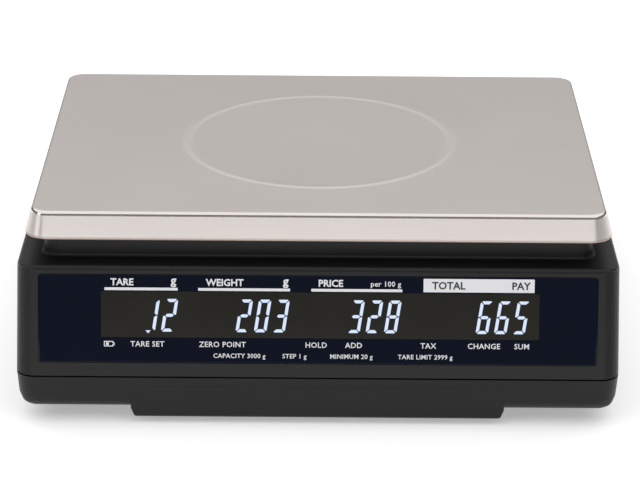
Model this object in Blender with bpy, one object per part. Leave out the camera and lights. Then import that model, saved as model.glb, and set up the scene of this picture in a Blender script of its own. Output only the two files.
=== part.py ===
"""Low price-computing counter scale, built as an assembly of separate solids.

Frame: origin on the table under the middle of the casing, +Z up. The customer's display faces -Y and
the operator's sloping keyboard faces +Y. Sizes are in metres.
"""

import bmesh
import bpy
from math import atan, cos, hypot, pi, radians, sin, tan
from mathutils import Vector

MM = 0.001
GAP = 0.3 * MM  # between pieces that touch or sit in each other

# ---- weighing pan, the size that the casing is built round ----
PAN_WIDTH = 333 * MM  # flat top, across
PAN_DEPTH = 249 * MM  # flat top, front to back
PAN_ABOVE_DECK = 30 * MM  # the weighing face over the casing's deck
PAN_SHEET = 0.8 * MM
PAN_SKIRT = 16 * MM
PAN_FLARE = 3.4 * MM  # how far the rim stands out past the flat top
PAN_CORNER = 11 * MM
PAN_BEND = 2.3 * MM
PAN_BEAD_RADIUS = 81.4 * MM
PAN_BEAD_WIDTH = 7 * MM
PAN_BEAD_DEEP = 0.35 * MM

# ---- casing ----
CASE_FLOOR = 9 * MM
JOINT_HEIGHT = 30.5 * MM  # where the two casing halves meet
DECK_HEIGHT = 93 * MM
WALL = 2.8 * MM
FRONT_LEAN = radians(15)
PANEL_SLOPE = radians(26)
DECK_MARGIN = 7.7 * MM  # deck edge past the pan's flat top, front and back
SIDE_MARGIN = 8.5 * MM  # casing past the pan's flat top, at the joint line
SIDE_DRAFT = 0.75 * MM  # each side leans in this much between joint and deck
PANEL_DEPTH = 91 * MM  # keyboard slope, seen from above
NOSE_LEAN = 4 * MM
BASE_DRAFT = 1.5 * MM
JOINT_GAP = 1 * MM
TONGUE_HEIGHT = 3 * MM
TONGUE_THICK = 1.8 * MM
CORNER_RADIUS = 11 * MM
FRONT_EDGE_RADIUS = 2.4 * MM
DECK_EDGE_RADIUS = 3 * MM
PANEL_EDGE_RADIUS = 4 * MM
BASE_EDGE_RADIUS = 8 * MM
PLATEAU_INSET = 6.7 * MM  # plateau wall behind the pan's flat edge
PLATEAU_RISE = 17 * MM
PLATEAU_CORNER = 9 * MM
PLATEAU_FILLET = 1.6 * MM  # where its wall runs out into the deck
PLATEAU_EDGE = 1 * MM

# ---- battery bay and its sliding door ----
CELL_RADIUS = 17.1 * MM
CELL_LENGTH = 61.5 * MM
CELLS_IN_ROW = 3
CELL_ROWS = 2
CELL_PITCH = 35 * MM
CELL_NUB_RADIUS = 4.6 * MM
CELL_NUB = 1.5 * MM
CONTACT_ROOM = 4.5 * MM  # for the spring contacts at each end of a row
BAY_WALL = 1.9 * MM
BAY_SETBACK = 10 * MM  # bay's inside behind the casing's front
BELLY_DROP = 5 * MM  # the bay stands below the case floor
BELLY_MARGIN = 11.7 * MM
BELLY_TAPER = 3 * MM
BELLY_EDGE = 1.2 * MM
DOOR_THICK = 2 * MM
DOOR_TONGUE = 1.8 * MM
DOOR_TONGUE_THICK = 1.2 * MM

# ---- feet ----
FOOT_INSET_X = 35 * MM
FOOT_INSET_FRONT = 44 * MM
FOOT_INSET_BACK = 38 * MM
FOOT_PAD_RADIUS = 12 * MM
FOOT_PAD_THICK = 3.6 * MM
FOOT_WHEEL_RADIUS = 14 * MM
FOOT_WHEEL_THICK = 4.6 * MM
FOOT_STUD_RADIUS = 4 * MM
FOOT_STUD_LENGTH = 22 * MM
FOOT_SPIGOT_RADIUS = 5 * MM
FOOT_SPIGOT_DEEP = 2 * MM
FOOT_POCKET_DEEP = 8.5 * MM
FOOT_POCKET_ROOM = 3 * MM
FOOT_BOSS_RADIUS = 7.5 * MM

# ---- displays ----
WINDOW_THICK = 1.5 * MM
WINDOW_CORNER = 1.8 * MM
WINDOW_SIDE = 14 * MM  # from the casing's side to the window
FRONT_WINDOW_TOP = 4.9 * MM
FRONT_WINDOW_BOTTOM = 8.6 * MM
FRONT_GLASS_TOP = 15.2 * MM
PANEL_WINDOW_TOP = 4.5 * MM
PANEL_WINDOW_HEIGHT = 33.5 * MM
PANEL_GLASS_TOP = 13.5 * MM
GLASS_WIDTH = 252 * MM
FRONT_GLASS_HEIGHT = 25.3 * MM
PANEL_GLASS_HEIGHT = 21 * MM
GLASS_BORDER = 5 * MM
LCD_THICK = 7 * MM

# ---- keyboard ----
KEY_COLUMNS = 5
KEY_ROWS = 4
KEY_PITCH_X = 26 * MM
KEY_PITCH_Y = 13.6 * MM
KEY_WIDTH = 22.5 * MM
KEY_HEIGHT = 11 * MM
KEY_RISE = 2.8 * MM
KEY_DRAFT = 0.8 * MM
KEY_FLANGE = 1 * MM
KEY_FLANGE_THICK = 1.2 * MM
KEY_TRAVEL = 1.5 * MM
KEYS_SIDE = 22 * MM  # from the casing's side to the last key
KEYS_BELOW_WINDOW = 5.5 * MM
MAT_THICK = 0.8 * MM
MAT_DOME = 0.7 * MM
BOARD_THICK = 1.6 * MM
SHEET_THICK = 0.6 * MM
SHEET_GAP = 6 * MM
KEY_NAMES = (
    ("key_power", "key_7", "key_8", "key_9", "key_clear"),
    ("key_light", "key_4", "key_5", "key_6", "key_tare"),
    ("key_deposit", "key_1", "key_2", "key_3", "key_zero"),
    ("key_tax", "key_0", "key_00", "key_add", "key_total"),
)

# ---- weighing mechanism ----
CELL_BEAM_LENGTH = 130 * MM
CELL_BEAM_WIDTH = 30 * MM
CELL_BEAM_HEIGHT = 22 * MM
CELL_HOLE_RADIUS = 7.5 * MM
CELL_HOLE_SPREAD = 12 * MM
CELL_SLOT = 5 * MM
BEAM_BELOW_PLATEAU = 50 * MM  # the beam's underside, below the plateau's top
BOLT_RADIUS = 3 * MM
BOLT_HEAD_RADIUS = 5 * MM
BOLT_HEAD = 5 * MM
BOLT_SPREAD = 15 * MM
BOLT_END_INSET = 8 * MM
BOLT_BITE = 15 * MM  # how far a bolt goes into the beam
CHASSIS_THICK = 3 * MM
CHASSIS_WIDTH = 210 * MM
PEDESTAL_LENGTH = 42 * MM
PEDESTAL_WIDTH = 40 * MM
PEDESTAL_WALL = 4 * MM
PEDESTAL_TOP = 10 * MM
STOP_RADIUS = 7 * MM
STOP_PIN_RADIUS = 3 * MM
STOP_PIN = 11 * MM
OVERLOAD_GAP = 0.6 * MM
HUB_GAP = 0.8 * MM  # room for the travel that the real beam takes by bending
SUPPORT_PLATE = 4 * MM
SUPPORT_INSET_X = 38 * MM  # support plate inside the pan's flat edge
SUPPORT_INSET_Y = 32 * MM
SUPPORT_CLEAR = 2.5 * MM  # over the plateau
SUPPORT_PAD_RADIUS = 9 * MM
SUPPORT_CORNER = 20 * MM
SUPPORT_PORT_RADIUS = 15 * MM
HUB_ROOM = 4 * MM

# ---- fasteners, board, socket and level ----
SCREW_INSET_X = 14 * MM
SCREW_INSET_FRONT = 84 * MM
SCREW_BEHIND_DECK = 7 * MM
SCREW_RADIUS = 1.9 * MM
SCREW_HEAD_RADIUS = 4 * MM
SCREW_HEAD = 3 * MM
SCREW_LENGTH = 26 * MM
SCREW_SINK = 10 * MM
POST_RADIUS = 4.5 * MM
MAIN_BOARD_WIDTH = 150 * MM
MAIN_BOARD_DEPTH = 72 * MM
MAIN_BOARD_HEIGHT = 8 * MM
SOCKET_Y = 58 * MM
SOCKET_WIDTH = 9 * MM
SOCKET_HEIGHT = 11 * MM
SOCKET_LENGTH = 14 * MM
SOCKET_BORE_RADIUS = 3.2 * MM
SOCKET_BORE_DEEP = 10 * MM
SOCKET_PIN_RADIUS = 1 * MM
LEVEL_RADIUS = 8 * MM
LEVEL_HEIGHT = 9 * MM
LEVEL_STANDS = 1.2 * MM
LEVEL_INSET = 13 * MM

# ---- worked out from the sizes above ----
FRONT_RUN = (DECK_HEIGHT - JOINT_HEIGHT) * tan(FRONT_LEAN)
HALF_WIDTH = PAN_WIDTH / 2 + SIDE_MARGIN
BODY_DEPTH = FRONT_RUN + PAN_DEPTH + 2 * DECK_MARGIN + PANEL_DEPTH + NOSE_LEAN
FRONT_Y = -BODY_DEPTH / 2
BACK_Y = BODY_DEPTH / 2
DECK_FRONT_Y = FRONT_Y + FRONT_RUN
PAN_Y = DECK_FRONT_Y + DECK_MARGIN + PAN_DEPTH / 2
DECK_BACK_Y = PAN_Y + PAN_DEPTH / 2 + DECK_MARGIN
PANEL_END_Y = DECK_BACK_Y + PANEL_DEPTH
PANEL_DROP = PANEL_DEPTH * tan(PANEL_SLOPE)
PANEL_LENGTH = PANEL_DEPTH / cos(PANEL_SLOPE)
FACE_LENGTH = (DECK_HEIGHT - JOINT_HEIGHT) / cos(FRONT_LEAN)
PAN_TOP = DECK_HEIGHT + PAN_ABOVE_DECK
PLATEAU_TOP = DECK_HEIGHT + PLATEAU_RISE
BEAM_BOTTOM = PLATEAU_TOP - BEAM_BELOW_PLATEAU
FLOOR_TOP = CASE_FLOOR + WALL
BELLY_BOTTOM = CASE_FLOOR - BELLY_DROP
CHASSIS_BOTTOM = FLOOR_TOP + GAP
CHASSIS_TOP = CHASSIS_BOTTOM + CHASSIS_THICK
WINDOW_WIDTH = 2 * (HALF_WIDTH - WINDOW_SIDE)
BAY_HALF = CELLS_IN_ROW * CELL_LENGTH / 2 + CONTACT_ROOM
BAY_FRONT = FRONT_Y + BAY_SETBACK
BAY_BACK = BAY_FRONT + (CELL_ROWS - 1) * CELL_PITCH + 2 * CELL_RADIUS + 2 * MM
DOOR_TOP = BELLY_BOTTOM + GAP + DOOR_THICK
CELL_HEIGHT = DOOR_TOP + 3 * GAP + CELL_RADIUS
LIVE_X = CELL_BEAM_LENGTH / 2 - BOLT_END_INSET - BOLT_SPREAD / 2
FOOT_PLACES = [
    (side * (HALF_WIDTH - FOOT_INSET_X), y)
    for y in (FRONT_Y + FOOT_INSET_FRONT, BACK_Y - FOOT_INSET_BACK)
    for side in (-1, 1)
]
SCREW_PLACES = [
    (side * (HALF_WIDTH - SCREW_INSET_X), y)
    for y in (FRONT_Y + SCREW_INSET_FRONT, DECK_BACK_Y + SCREW_BEHIND_DECK)
    for side in (-1, 1)
]


# ---------------------------------------------------------------- tools
def clear_scene():
    for item in list(bpy.data.objects):
        bpy.data.objects.remove(item)


def finish(name, colour, roughness, metallic=0.0):
    made = bpy.data.materials.new(name)
    made.use_nodes = True
    shader = made.node_tree.nodes["Principled BSDF"]
    shader.inputs["Base Color"].default_value = (*colour, 1)
    shader.inputs["Roughness"].default_value = roughness
    shader.inputs["Metallic"].default_value = metallic
    return made


def add(name, mesh, material=None, place=(0, 0, 0), parent=None):
    """An object from a bmesh, shaded smooth with sharp edges kept."""
    data = bpy.data.meshes.new(name)
    bmesh.ops.recalc_face_normals(mesh, faces=mesh.faces)
    mesh.to_mesh(data)
    mesh.free()
    data.shade_smooth()
    data.set_sharp_from_angle(angle=radians(35))
    if material:
        data.materials.append(material)
    made = bpy.data.objects.new(name, data)
    made.location = place
    made.parent = parent
    bpy.context.scene.collection.objects.link(made)
    return made


def helper(name, mesh, place=(0, 0, 0), parent=None):
    """A cutter or a lug: it shapes another piece and isn't one itself."""
    made = add(name, mesh, None, place, parent)
    made.hide_render = True
    made.display_type = "WIRE"
    return made


def combine(target, other, operation):
    step = target.modifiers.new(other.name, "BOOLEAN")
    step.object = other
    step.operation = operation
    step.solver = "EXACT"


def cut(target, *cutters):
    for cutter in cutters:
        combine(target, cutter, "DIFFERENCE")


def join(target, *others):
    for other in others:
        combine(target, other, "UNION")


def frame(name, place, turn):
    made = bpy.data.objects.new(name, None)
    made.location = place
    made.rotation_euler = turn
    bpy.context.scene.collection.objects.link(made)
    return made


def rounded_outline(width, depth, radius, steps=4, centre=(0, 0)):
    """Corner points of a rectangle with round corners, anticlockwise."""
    points = []
    for corner in range(4):
        sx, sy = ((1, 1), (-1, 1), (-1, -1), (1, -1))[corner]
        middle = (centre[0] + sx * (width / 2 - radius), centre[1] + sy * (depth / 2 - radius))
        for step in range(steps + 1):
            angle = (corner + step / steps) * pi / 2
            points.append((middle[0] + radius * cos(angle), middle[1] + radius * sin(angle)))
    return points


def circle(radius, sides, centre=(0, 0)):
    turns = [2 * pi * i / sides for i in range(sides)]
    return [(centre[0] + radius * cos(a), centre[1] + radius * sin(a)) for a in turns]


def loft(rings, mesh=None):
    """A closed skin through rings of (outline, height), each with the same number of points."""
    mesh = mesh or bmesh.new()
    made = [[mesh.verts.new((x, y, height)) for x, y in outline] for outline, height in rings]
    for low, high in zip(made, made[1:]):
        for i in range(len(low)):
            k = (i + 1) % len(low)
            mesh.faces.new((low[i], low[k], high[k], high[i]))
    mesh.faces.new(made[0][::-1])
    mesh.faces.new(made[-1])
    return mesh


def prism(outline, low, high, mesh=None):
    return loft([(outline, low), (outline, high)], mesh)


def box(x, y, z, mesh=None):
    """A block between two limits on each axis."""
    outline = [(x[0], y[0]), (x[1], y[0]), (x[1], y[1]), (x[0], y[1])]
    return prism(outline, z[0], z[1], mesh)


def turned(steps, sides, centre=(0, 0), mesh=None):
    """A body of revolution about Z, from (radius, height) steps, bottom to top."""
    return loft([(circle(radius, sides, centre), height) for radius, height in steps], mesh)


def round_edges(item, width, segments):
    """Rounds the edges that carry a bevel weight."""
    step = item.modifiers.new("edges", "BEVEL")
    step.limit_method = "WEIGHT"
    step.width = width
    step.segments = segments
    step.use_clamp_overlap = False


# ---------------------------------------------------------------- casing blocks
def inset_profile(profile, inset):
    """Moves each side of a convex side-view outline inwards, and meets them again."""
    count = len(profile)
    sides = []
    for i, (y, z) in enumerate(profile):
        nextY, nextZ = profile[(i + 1) % count]
        length = hypot(nextY - y, nextZ - z)
        inward = ((nextZ - z) / length, -(nextY - y) / length)
        moved = (y + inward[0] * inset, z + inward[1] * inset)
        sides.append((moved, (nextY - y, nextZ - z)))
    points = []
    for i in range(count):
        (p, d), (q, e) = sides[i - 1], sides[i]
        along = ((q[0] - p[0]) * e[1] - (q[1] - p[1]) * e[0]) / (d[0] * e[1] - d[1] * e[0])
        points.append((p[0] + along * d[0], p[1] + along * d[1]))
    return points


def casing_block(profile, half_width, lengthwise, sideways):
    """A slab across the casing from its side view, with bevel weights that hold each edge's radius.

    The widest radius has weight 1, so the Bevel that follows takes CORNER_RADIUS as its width.
    """
    mesh = bmesh.new()
    weight = mesh.edges.layers.float.new("bevel_weight_edge")
    left = [mesh.verts.new((-half_width(z), y, z)) for y, z in profile]
    right = [mesh.verts.new((half_width(z), y, z)) for y, z in profile]
    mesh.faces.new(left)
    mesh.faces.new(right[::-1])
    count = len(profile)
    for i in range(count):
        k = (i + 1) % count
        mesh.faces.new((left[i], right[i], right[k], left[k]))
    for i in range(count):
        k = (i + 1) % count
        mesh.edges.get((left[i], right[i]))[weight] = lengthwise[i] / CORNER_RADIUS
        for side in (left, right):
            mesh.edges.get((side[i], side[k]))[weight] = sideways[i] / CORNER_RADIUS
    return mesh


def upper_profile():
    return [
        (FRONT_Y, JOINT_HEIGHT),
        (DECK_FRONT_Y, DECK_HEIGHT),
        (DECK_BACK_Y, DECK_HEIGHT),
        (PANEL_END_Y, DECK_HEIGHT - PANEL_DROP),
        (BACK_Y, JOINT_HEIGHT),
    ]


def lower_profile():
    return [
        (FRONT_Y, JOINT_HEIGHT),
        (BACK_Y, JOINT_HEIGHT),
        (BACK_Y - BASE_DRAFT, CASE_FLOOR),
        (FRONT_Y + BASE_DRAFT, CASE_FLOOR),
    ]


def upper_half(height):
    return HALF_WIDTH - SIDE_DRAFT * (height - JOINT_HEIGHT) / (DECK_HEIGHT - JOINT_HEIGHT)


def lower_half(height):
    return HALF_WIDTH - BASE_DRAFT * (JOINT_HEIGHT - height) / (JOINT_HEIGHT - CASE_FLOOR)


def slid_down(profile, first, second, drop):
    """Carries the two points of an open edge further along the sides that end there."""
    moved = list(profile)
    for point, other in ((first, first + 1), (second, second - 1)):
        (y, z), (oy, oz) = profile[point % len(profile)], profile[other % len(profile)]
        share = drop / (oz - z)
        moved[point % len(profile)] = (y - (oy - y) * share, z - (oz - z) * share)
    return moved


def upper_block(inset, drop):
    """The upper casing's shape, moved in by inset and carried below the joint by drop."""
    profile = slid_down(inset_profile(upper_profile(), inset), 0, -1, drop)
    shrink = lambda radius: max(radius - inset, 0.4 * MM)
    lengthwise = (0, shrink(FRONT_EDGE_RADIUS), PANEL_EDGE_RADIUS, shrink(PANEL_EDGE_RADIUS), 0)
    edge, corner = shrink(DECK_EDGE_RADIUS), shrink(CORNER_RADIUS)
    sideways = (corner, edge, edge, corner, 0)
    return casing_block(profile, lambda z: upper_half(z) - inset, lengthwise, sideways)


def lower_block(inset, rise):
    """The lower casing's shape, moved in by inset and carried above the joint by rise."""
    profile = inset_profile(lower_profile(), inset)
    profile[0] = (profile[0][0], JOINT_HEIGHT + rise)
    profile[1] = (profile[1][0], JOINT_HEIGHT + rise)
    shrink = lambda radius: max(radius - inset, 0.4 * MM)
    base, corner = shrink(BASE_EDGE_RADIUS), shrink(CORNER_RADIUS)
    return casing_block(profile, lambda z: lower_half(z) - inset, (0, 0, base, base), (0, corner, base, corner))


def rounded(item, segments=8):
    round_edges(item, CORNER_RADIUS, segments)
    return item


def slab(name, low, high):
    """A cutter that covers the whole casing between two heights."""
    reach = HALF_WIDTH + 20 * MM
    return helper(name, box((-reach, reach), (FRONT_Y - 20 * MM, BACK_Y + 20 * MM), (low, high)))


# ---------------------------------------------------------------- casing pieces
def plateau_outline(inset, steps):
    width = PAN_WIDTH - 2 * (PLATEAU_INSET + inset)
    depth = PAN_DEPTH - 2 * (PLATEAU_INSET + inset)
    return rounded_outline(width, depth, max(PLATEAU_CORNER - inset, MM), steps, (0, PAN_Y))


def plateau_block():
    """The plateau, with a fillet at its foot and a rounded top edge."""
    rings = [(plateau_outline(-PLATEAU_FILLET, 4), DECK_HEIGHT - WALL / 2)]
    for step in range(4):
        angle = step * pi / 6
        outset = PLATEAU_FILLET * (1 - sin(angle))
        rings.append((plateau_outline(-outset, 4), DECK_HEIGHT + 0.02 * MM + PLATEAU_FILLET * (1 - cos(angle))))
    for step in range(4):
        angle = step * pi / 6
        inset = PLATEAU_EDGE * (1 - cos(angle))
        rings.append((plateau_outline(inset, 4), PLATEAU_TOP - PLATEAU_EDGE * (1 - sin(angle))))
    return loft(rings)


def hub_outline(room=0.0):
    length = BOLT_SPREAD + 2 * BOLT_END_INSET + 2 * room
    return rounded_outline(length, CELL_BEAM_WIDTH + 2 * room, 3 * MM + room, 3, (LIVE_X, PAN_Y))


def make_upper_case(black, front, panel):
    case = rounded(add("upper_case", upper_block(0, 0), black))
    plateau = helper("plateau", plateau_block())
    hollow = rounded(helper("upper_hollow", upper_block(WALL, 5 * MM)), 3)
    under_plateau = prism(plateau_outline(WALL, 3), DECK_HEIGHT - 2 * WALL, PLATEAU_TOP - WALL)
    join(case, plateau)
    cut(case, hollow, helper("plateau_hollow", under_plateau))
    posts = bmesh.new()
    for x, y in SCREW_PLACES:
        behind_deck = max(y + POST_RADIUS - DECK_BACK_Y, 0)
        top = DECK_HEIGHT - behind_deck * tan(PANEL_SLOPE) - WALL / 2
        turned([(POST_RADIUS, JOINT_HEIGHT - GAP), (POST_RADIUS, top)], 12, (x, y), posts)
    join(case, helper("upper_posts", posts))
    pilots = bmesh.new()
    for x, y in SCREW_PLACES:
        pilot_top = JOINT_HEIGHT + SCREW_LENGTH
        turned([(SCREW_RADIUS + GAP, 0), (SCREW_RADIUS + GAP, pilot_top)], 10, (x, y), pilots)
    hub_hole = prism(hub_outline(HUB_ROOM), DECK_HEIGHT - 4 * WALL, PLATEAU_TOP + 5 * MM)
    cut(case, slab("below_joint", 0, JOINT_HEIGHT + JOINT_GAP / 2))
    cut(case, helper("post_pilots", pilots), helper("hub_hole", hub_hole))
    cut(case, helper("level_hole", turned([(LEVEL_RADIUS + GAP, PLATEAU_TOP - 3 * WALL),
                                           (LEVEL_RADIUS + GAP, PLATEAU_TOP + WALL)], 20, level_place())))
    for side, top, height, glass_top, glass_height in (
        (front, FRONT_WINDOW_TOP, front_window_height(), FRONT_GLASS_TOP, FRONT_GLASS_HEIGHT),
        (panel, PANEL_WINDOW_TOP, PANEL_WINDOW_HEIGHT, PANEL_GLASS_TOP, PANEL_GLASS_HEIGHT),
    ):
        seat = window_outline(top, height, GAP)
        sight = rounded_outline(GLASS_WIDTH + 4 * MM, glass_height + 3 * MM, MM, 1,
                                (0, -glass_top - glass_height / 2))
        depth = WINDOW_THICK + GAP
        cut(case, helper(side.name + "_seat", prism(seat, -depth, 5 * MM), parent=side))
        cut(case, helper(side.name + "_sight", prism(sight, -3 * WALL, WALL), parent=side))
    holes = bmesh.new()
    for x, y in key_places():
        hole = rounded_outline(KEY_WIDTH + 2 * GAP, KEY_HEIGHT + 2 * GAP, MM, 1, (x, y))
        prism(hole, -2 * WALL, 2 * WALL, holes)
    cut(case, helper("key_holes", holes, parent=panel))
    left, right, top, bottom = sheet_limits()
    recess = box((left - GAP, right + GAP), (bottom - GAP, top + GAP), (-SHEET_THICK - GAP, WALL))
    cut(case, helper("sheet_recess", recess, parent=panel))


def make_lower_case(black):
    case = rounded(add("lower_case", lower_block(0, TONGUE_HEIGHT), black))
    belly_half = BAY_HALF + BELLY_MARGIN
    front_at = lambda z: FRONT_Y + BASE_DRAFT * (JOINT_HEIGHT - z) / (JOINT_HEIGHT - CASE_FLOOR)
    back = BAY_BACK + BELLY_MARGIN
    rings = []
    for z, taper in ((BELLY_BOTTOM, BELLY_TAPER), (BELLY_BOTTOM + BELLY_EDGE, BELLY_TAPER - BELLY_EDGE),
                     (CASE_FLOOR + 1 * MM, 0), (JOINT_HEIGHT - 6 * MM, 0)):
        half = belly_half - taper
        y = front_at(z) + (BELLY_EDGE if z == BELLY_BOTTOM else 0.05 * MM)
        rings.append(([(-half, y), (half, y), (half, back - taper), (-half, back - taper)], z))
    join(case, helper("belly", loft(rings)))
    cut(case, rounded(helper("lower_hollow", lower_block(WALL, -TONGUE_HEIGHT)), 3))
    cut(case, rounded(helper("tongue_hollow", lower_block(WALL + TONGUE_THICK, 2 * TONGUE_HEIGHT)), 3))
    cut(case, rim_cutter())

    lugs = bmesh.new()
    bay_roof = CELL_HEIGHT + CELL_RADIUS + 1 * MM
    bay = box((-BAY_HALF - BAY_WALL, BAY_HALF + BAY_WALL), (BAY_FRONT - BAY_WALL, BAY_BACK + BAY_WALL),
              (CASE_FLOOR, bay_roof + BAY_WALL), lugs)
    for x, y in FOOT_PLACES:
        pocket = FOOT_WHEEL_RADIUS + FOOT_POCKET_ROOM + 2 * MM
        pocket_top = CASE_FLOOR + FOOT_POCKET_DEEP + 2.5 * MM
        boss_top = JOINT_HEIGHT - 1 * MM
        turned([(pocket, CASE_FLOOR + 0.5 * MM), (pocket, pocket_top),
                (FOOT_BOSS_RADIUS, pocket_top + 0.1 * MM), (FOOT_BOSS_RADIUS, boss_top)], 24, (x, y), bay)
    for x, y in SCREW_PLACES:
        boss = SCREW_HEAD_RADIUS + 2 * MM
        turned([(boss, CASE_FLOOR + 0.5 * MM), (boss, JOINT_HEIGHT - GAP)], 14, (x, y), bay)
    join(case, helper("lower_lugs", lugs))

    holes = bmesh.new()
    box((-BAY_HALF, BAY_HALF), (BAY_FRONT, BAY_BACK), (DOOR_TOP - GAP, bay_roof), holes)
    for x, y in FOOT_PLACES:
        pocket, bore = FOOT_WHEEL_RADIUS + FOOT_POCKET_ROOM, FOOT_STUD_RADIUS + GAP
        pocket_top = CASE_FLOOR + FOOT_POCKET_DEEP
        turned([(pocket, 0), (pocket, pocket_top), (bore, pocket_top + 0.1 * MM), (bore, 2 * JOINT_HEIGHT)],
               20, (x, y), holes)
    for x, y in SCREW_PLACES:
        sink, bore = SCREW_HEAD_RADIUS + GAP, SCREW_RADIUS + GAP
        sink_top = CASE_FLOOR + SCREW_SINK
        turned([(sink, 0), (sink, sink_top), (bore, sink_top + 0.1 * MM), (bore, 2 * JOINT_HEIGHT)],
               10, (x, y), holes)
    cut(case, helper("lower_holes", holes))
    cut(case, helper("door_way", door_shape(GAP, 3 * GAP, BAY_FRONT - 3 * MM - GAP, back + 10 * MM)))
    half_y, half_z = SOCKET_WIDTH / 2 + GAP, SOCKET_HEIGHT / 2 + GAP
    y, z = SOCKET_Y, socket_height()
    slot = box((HALF_WIDTH - 12 * MM, HALF_WIDTH + 5 * MM), (y - half_y, y + half_y), (z - half_z, z + half_z))
    cut(case, helper("socket_slot", slot))


def rim_cutter():
    """What stands round the tongue: it leaves the tongue proud of the lower casing's rim."""
    ring = slab("rim", JOINT_HEIGHT - JOINT_GAP / 2, JOINT_HEIGHT + 2 * TONGUE_HEIGHT)
    cut(ring, rounded(helper("tongue_core", upper_block(WALL + GAP, 5 * TONGUE_HEIGHT)), 3))
    return ring


# ---------------------------------------------------------------- displays and keyboard
def front_window_height():
    return FACE_LENGTH - FRONT_WINDOW_TOP - FRONT_WINDOW_BOTTOM


def window_outline(top, height, room):
    return rounded_outline(WINDOW_WIDTH + 2 * room, height + 2 * room, WINDOW_CORNER + room, 3,
                           (0, -top - height / 2))


def make_display(side_name, side, top, height, glass_top, glass_height, clear, dark):
    pane = prism(window_outline(top, height, 0), -WINDOW_THICK, 0)
    add(side_name + "_window", pane, clear, parent=side)
    middle = -glass_top - glass_height / 2
    width, tall = GLASS_WIDTH + 2 * GLASS_BORDER, glass_height + 2 * GLASS_BORDER
    back = -WALL - GAP - LCD_THICK
    module = box((-width / 2, width / 2), (middle - tall / 2, middle + tall / 2), (back, -WALL - GAP))
    add(side_name + "_lcd", module, dark, parent=side)


def key_places():
    """Key centres on the panel, row by row from the top, left to right for the operator."""
    last_x = HALF_WIDTH - KEYS_SIDE - KEY_WIDTH / 2
    first_y = -PANEL_WINDOW_TOP - PANEL_WINDOW_HEIGHT - KEYS_BELOW_WINDOW - KEY_HEIGHT / 2
    return [
        (last_x - (KEY_COLUMNS - 1 - column) * KEY_PITCH_X, first_y - row * KEY_PITCH_Y)
        for row in range(KEY_ROWS)
        for column in range(KEY_COLUMNS)
    ]


def keys_limits(margin):
    places = key_places()
    xs, ys = [x for x, _ in places], [y for _, y in places]
    wide, tall = KEY_WIDTH / 2 + margin, KEY_HEIGHT / 2 + margin
    return (min(xs) - wide, max(xs) + wide), (min(ys) - tall, max(ys) + tall)


def sheet_limits():
    """Left, right, top and bottom of the preset sheet, beside the keys."""
    (key_left, _), (bottom, top) = keys_limits(0)
    return -WINDOW_WIDTH / 2, key_left - SHEET_GAP, top, bottom


def make_keys(cap, panel):
    flange_top = -WALL - GAP
    flange_low = flange_top - KEY_FLANGE_THICK
    names = [name for row in KEY_NAMES for name in row]
    for name, (x, y) in zip(names, key_places()):
        flange = rounded_outline(KEY_WIDTH + 2 * KEY_FLANGE, KEY_HEIGHT + 2 * KEY_FLANGE, MM, 1)
        stem = rounded_outline(KEY_WIDTH, KEY_HEIGHT, MM, 1)
        crown = rounded_outline(KEY_WIDTH - 2 * KEY_DRAFT, KEY_HEIGHT - 2 * KEY_DRAFT, MM, 1)
        shape = loft([(flange, flange_low), (flange, flange_top), (stem, flange_top + 0.01 * MM),
                      (stem, 0.5 * MM), (crown, KEY_RISE)])
        add(name, shape, cap, (x, y, 0), panel)


def make_keypad(rubber, green, panel):
    x, y = keys_limits(1 * MM)
    pressed = -WALL - GAP - KEY_FLANGE_THICK - KEY_TRAVEL
    dome_top = pressed - GAP
    sheet_top = dome_top - MAT_DOME
    mat = add("keypad_mat", box(x, y, (sheet_top - MAT_THICK, sheet_top)), rubber, parent=panel)
    domes = bmesh.new()
    for place in key_places():
        foot, head = (rounded_outline(w, h, MM, 1, place) for w, h in ((14 * MM, 8 * MM), (11 * MM, 6 * MM)))
        loft([(foot, sheet_top - MAT_THICK / 2), (head, dome_top)], domes)
    join(mat, helper("domes", domes, parent=panel))
    board_top = sheet_top - MAT_THICK - GAP
    add("keypad_board", box(x, y, (board_top - BOARD_THICK, board_top)), green, parent=panel)
    left, right, top, bottom = sheet_limits()
    return box((left, right), (bottom, top), (-SHEET_THICK, 0))


# ---------------------------------------------------------------- weighing mechanism
def pan_ring(inset, height, steps=6):
    width, depth = PAN_WIDTH - 2 * inset, PAN_DEPTH - 2 * inset
    return rounded_outline(width, depth, max(PAN_CORNER - inset, MM), steps, (0, PAN_Y)), height


def make_pan(steel):
    under = PAN_TOP - PAN_SHEET
    rim = PAN_TOP - PAN_SKIRT
    bend = PAN_BEND * (1 - cos(pi / 4))
    mesh = loft([
        pan_ring(PAN_SHEET + PAN_BEND, under),
        pan_ring(PAN_SHEET, under - PAN_BEND),
        pan_ring(PAN_SHEET - PAN_FLARE, rim),
        pan_ring(-PAN_FLARE, rim),
        pan_ring(0, PAN_TOP - PAN_BEND),
        pan_ring(bend, PAN_TOP - bend),
        pan_ring(PAN_BEND, PAN_TOP),
    ])
    pan = add("weighing_pan", mesh, steel)
    sides, half = 40, PAN_BEAD_WIDTH / 2
    groove = bmesh.new()
    rings = [[groove.verts.new((radius * cos(2 * pi * i / sides), PAN_Y + radius * sin(2 * pi * i / sides), z))
              for i in range(sides)]
             for radius, z in ((PAN_BEAD_RADIUS - half, PAN_TOP + 0.1 * MM), (PAN_BEAD_RADIUS, PAN_TOP - PAN_BEAD_DEEP),
                               (PAN_BEAD_RADIUS + half, PAN_TOP + 0.1 * MM))]
    for ring, after in zip(rings, rings[1:] + rings[:1]):
        for i in range(sides):
            k = (i + 1) % sides
            groove.faces.new((ring[i], ring[k], after[k], after[i]))
    cut(pan, helper("bead", groove))


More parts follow.
